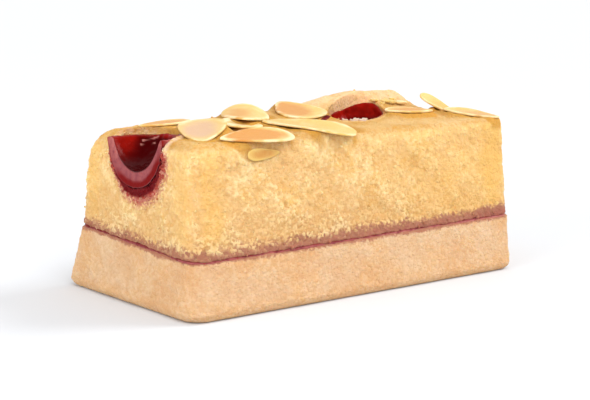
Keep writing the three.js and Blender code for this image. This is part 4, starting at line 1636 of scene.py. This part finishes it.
class TRAYBAKE_OT_sponge(bpy.types.Operator):
    """Build the sponge with its crust and its pockets"""

    bl_idname = "traybake.sponge"
    bl_label = "Sponge"

    def execute(self, context):
        shape = context.scene.traybake_shape
        points, triangles, values = sponge_surface(shape.spacing / MM, shape.relief)
        material = shared_material(context, "almond_crumb")
        add_piece("sponge", points, triangles, values, material, ("almond_sponge",))
        return {"FINISHED"}


class TRAYBAKE_OT_jam_pools(bpy.types.Operator):
    """Build the jam in the two pockets"""

    bl_idname = "traybake.jam_pools"
    bl_label = "Jam in the pockets"

    def execute(self, context):
        relief = context.scene.traybake_shape.jam_relief
        material = shared_material(context, "raspberry_jam")
        half = half_turn(END_POCKET)
        whole = np.linspace(0, 2 * math.pi, WHOLE_TURN_LINES)
        pools = (
            ("end_jam", END_POCKET, END_SCOOP, END_JAM_LEVEL, half, "jam_pool_end"),
            ("top_jam", TOP_POCKET, TOP_SCOOP, TOP_JAM_LEVEL, whole, "jam_pool_top"),
        )
        for name, pocket, scoop, level, angles, solid in pools:
            points, triangles, values = pool_surface(pocket, scoop, level, angles, relief)
            add_piece(name, points, triangles, values, material, (solid,))
        return {"FINISHED"}


class TRAYBAKE_OT_almonds(bpy.types.Operator):
    """Build the flaked almonds on top"""

    bl_idname = "traybake.almonds"
    bl_label = "Almonds"

    def execute(self, context):
        material = shared_material(context, "flaked_almond")
        for number, (size, _, _, bends, _, shades) in enumerate(ALMONDS):
            turn, middle = almond_place(number)
            form = almond_form(size, bends, ALMOND_THICKNESS, ALMOND_RINGS, number)
            points, triangles, inner = form
            solid = f"almond_flake_{number + 1:02d}"
            add_piece(f"flake_{number + 1:02d}", points @ turn.T + middle, triangles,
                      almond_values(inner, shades), material, (solid,))
        form = almond_form(SUNKEN_SIZE, (0.0, 0.0), SUNKEN_THICKNESS, SUNKEN_RINGS, SUNKEN_SEED)
        points, triangles, inner = form
        points = points @ almond_turn(*SUNKEN_TURN).T + np.array(SUNKEN_PLACE)
        inner[:, 0] = 0
        values = almond_values(inner, SUNKEN_SHADES)
        add_piece("sunken_flake", points, triangles, values, material)
        bits = (("almond_chips", CHIPS, "flaked_almond"), ("pale_lumps", LUMPS, "pale_lumps"))
        for name, chips, finish in bits:
            points, triangles, inner = chip_surface(chips)
            inner[:, 0] = 1
            values = almond_values(inner, CHIP_SHADES)
            add_piece(name, points, triangles, values, shared_material(context, finish))
        return {"FINISHED"}


class TRAYBAKE_OT_crumbs(bpy.types.Operator):
    """Scatter loose crumbs over the finished sponge"""

    bl_idname = "traybake.crumbs"
    bl_label = "Loose crumbs"

    def execute(self, context):
        sponge = bpy.data.objects.get("sponge")
        if sponge is None:
            raise RuntimeError("Build the sponge first")
        shape = context.scene.traybake_shape
        points, values = stored_surface(sponge.data)
        chance = np.random.default_rng(shape.seed)
        chosen = chance.choice(len(points), shape.crumbs, False, crumb_weights(points))
        sizes = chance.uniform(*CRUMB_SIZES, shape.crumbs)
        lumps, triangles = scattered_lumps(points[chosen], sizes, shape.seed)
        each = len(lumps) // shape.crumbs
        values = {name: np.repeat(value[chosen], each) for name, value in values.items()}
        # Loose crumbs get no painted shade of pits.
        values["pit_shade"] = np.zeros(len(lumps))
        material = shared_material(context, "almond_crumb")
        add_piece("loose_crumbs", lumps, triangles, values, material)
        return {"FINISHED"}


class TRAYBAKE_OT_stage(bpy.types.Operator):
    """Set up the ground, the lights and the camera"""

    bl_idname = "traybake.stage"
    bl_label = "Ground, light and camera"

    def execute(self, context):
        scene = context.scene
        settings = scene.traybake_stage
        ground = add_object("ground", ground_mesh(settings.glow))
        scene.world = studio_world(settings.sky)
        lights = (
            ("key_light", KEY_FROM, KEY_WIDTH, settings.key),
            ("fill_light", FILL_FROM, FILL_WIDTH, settings.fill),
        )
        for name, place, width, strength in lights:
            data = bpy.data.lights.new(name, "SUN")
            data.angle = math.radians(width)
            data.energy = strength
            light = add_object(name, data, place, -Vector(place))
        target = Vector(TARGET)
        data = bpy.data.lights.new("side_panel", "AREA")
        data.size = PANEL_WIDTH
        data.energy = settings.panel
        panel = add_object("side_panel", data, PANEL_PLACE, target - Vector(PANEL_PLACE))

        azimuth = math.radians(AZIMUTH)
        elevation = math.radians(ELEVATION)
        back = Vector((
            math.sin(azimuth) * math.cos(elevation), -math.cos(azimuth) * math.cos(elevation),
            math.sin(elevation),
        ))
        data = bpy.data.cameras.new("camera")
        data.lens = settings.lens
        scene.camera = add_object("camera", data, target + back * settings.distance, -back)
        scene.view_settings.view_transform = "Standard"
        return {"FINISHED"}


class TRAYBAKE_PT_panel(bpy.types.Panel):
    """The traybake's tab in the sidebar"""

    bl_label = "Traybake"
    bl_idname = "TRAYBAKE_PT_panel"
    bl_space_type = "VIEW_3D"
    bl_region_type = "UI"
    bl_category = "Traybake"

    def draw(self, context):
        for settings in ("traybake_shape", "traybake_colours", "traybake_stage"):
            box = self.layout.box()
            group = getattr(context.scene, settings)
            for name in group.bl_rna.properties.keys():
                if name not in ("rna_type", "name"):
                    box.prop(group, name)
        for step in STEPS:
            self.layout.operator(step.bl_idname)


STEPS = (
    TRAYBAKE_OT_base, TRAYBAKE_OT_jam_layer, TRAYBAKE_OT_sponge, TRAYBAKE_OT_jam_pools,
    TRAYBAKE_OT_almonds, TRAYBAKE_OT_crumbs, TRAYBAKE_OT_stage,
)
GROUPS = (
    ("traybake_shape", TraybakeShape), ("traybake_colours", TraybakeColours),
    ("traybake_stage", TraybakeStage),
)


def register():
    """Makes the settings, the steps and the panel known to Blender."""
    for name, group in GROUPS:
        bpy.utils.register_class(group)
        setattr(bpy.types.Scene, name, PointerProperty(type=group))
    for kind in (*STEPS, TRAYBAKE_PT_panel):
        bpy.utils.register_class(kind)


def unregister():
    """Takes them away again, the last one first."""
    for kind in (TRAYBAKE_PT_panel, *reversed(STEPS)):
        bpy.utils.unregister_class(kind)
    for name, group in reversed(GROUPS):
        delattr(bpy.types.Scene, name)
        bpy.utils.unregister_class(group)


def main():
    """Builds the slice step by step."""
    register()
    bpy.ops.traybake.base()
    bpy.ops.traybake.jam_layer()
    bpy.ops.traybake.sponge()
    bpy.ops.traybake.jam_pools()
    bpy.ops.traybake.almonds()
    bpy.ops.traybake.crumbs()
    bpy.ops.traybake.stage()


if __name__ == "__main__":
    main()
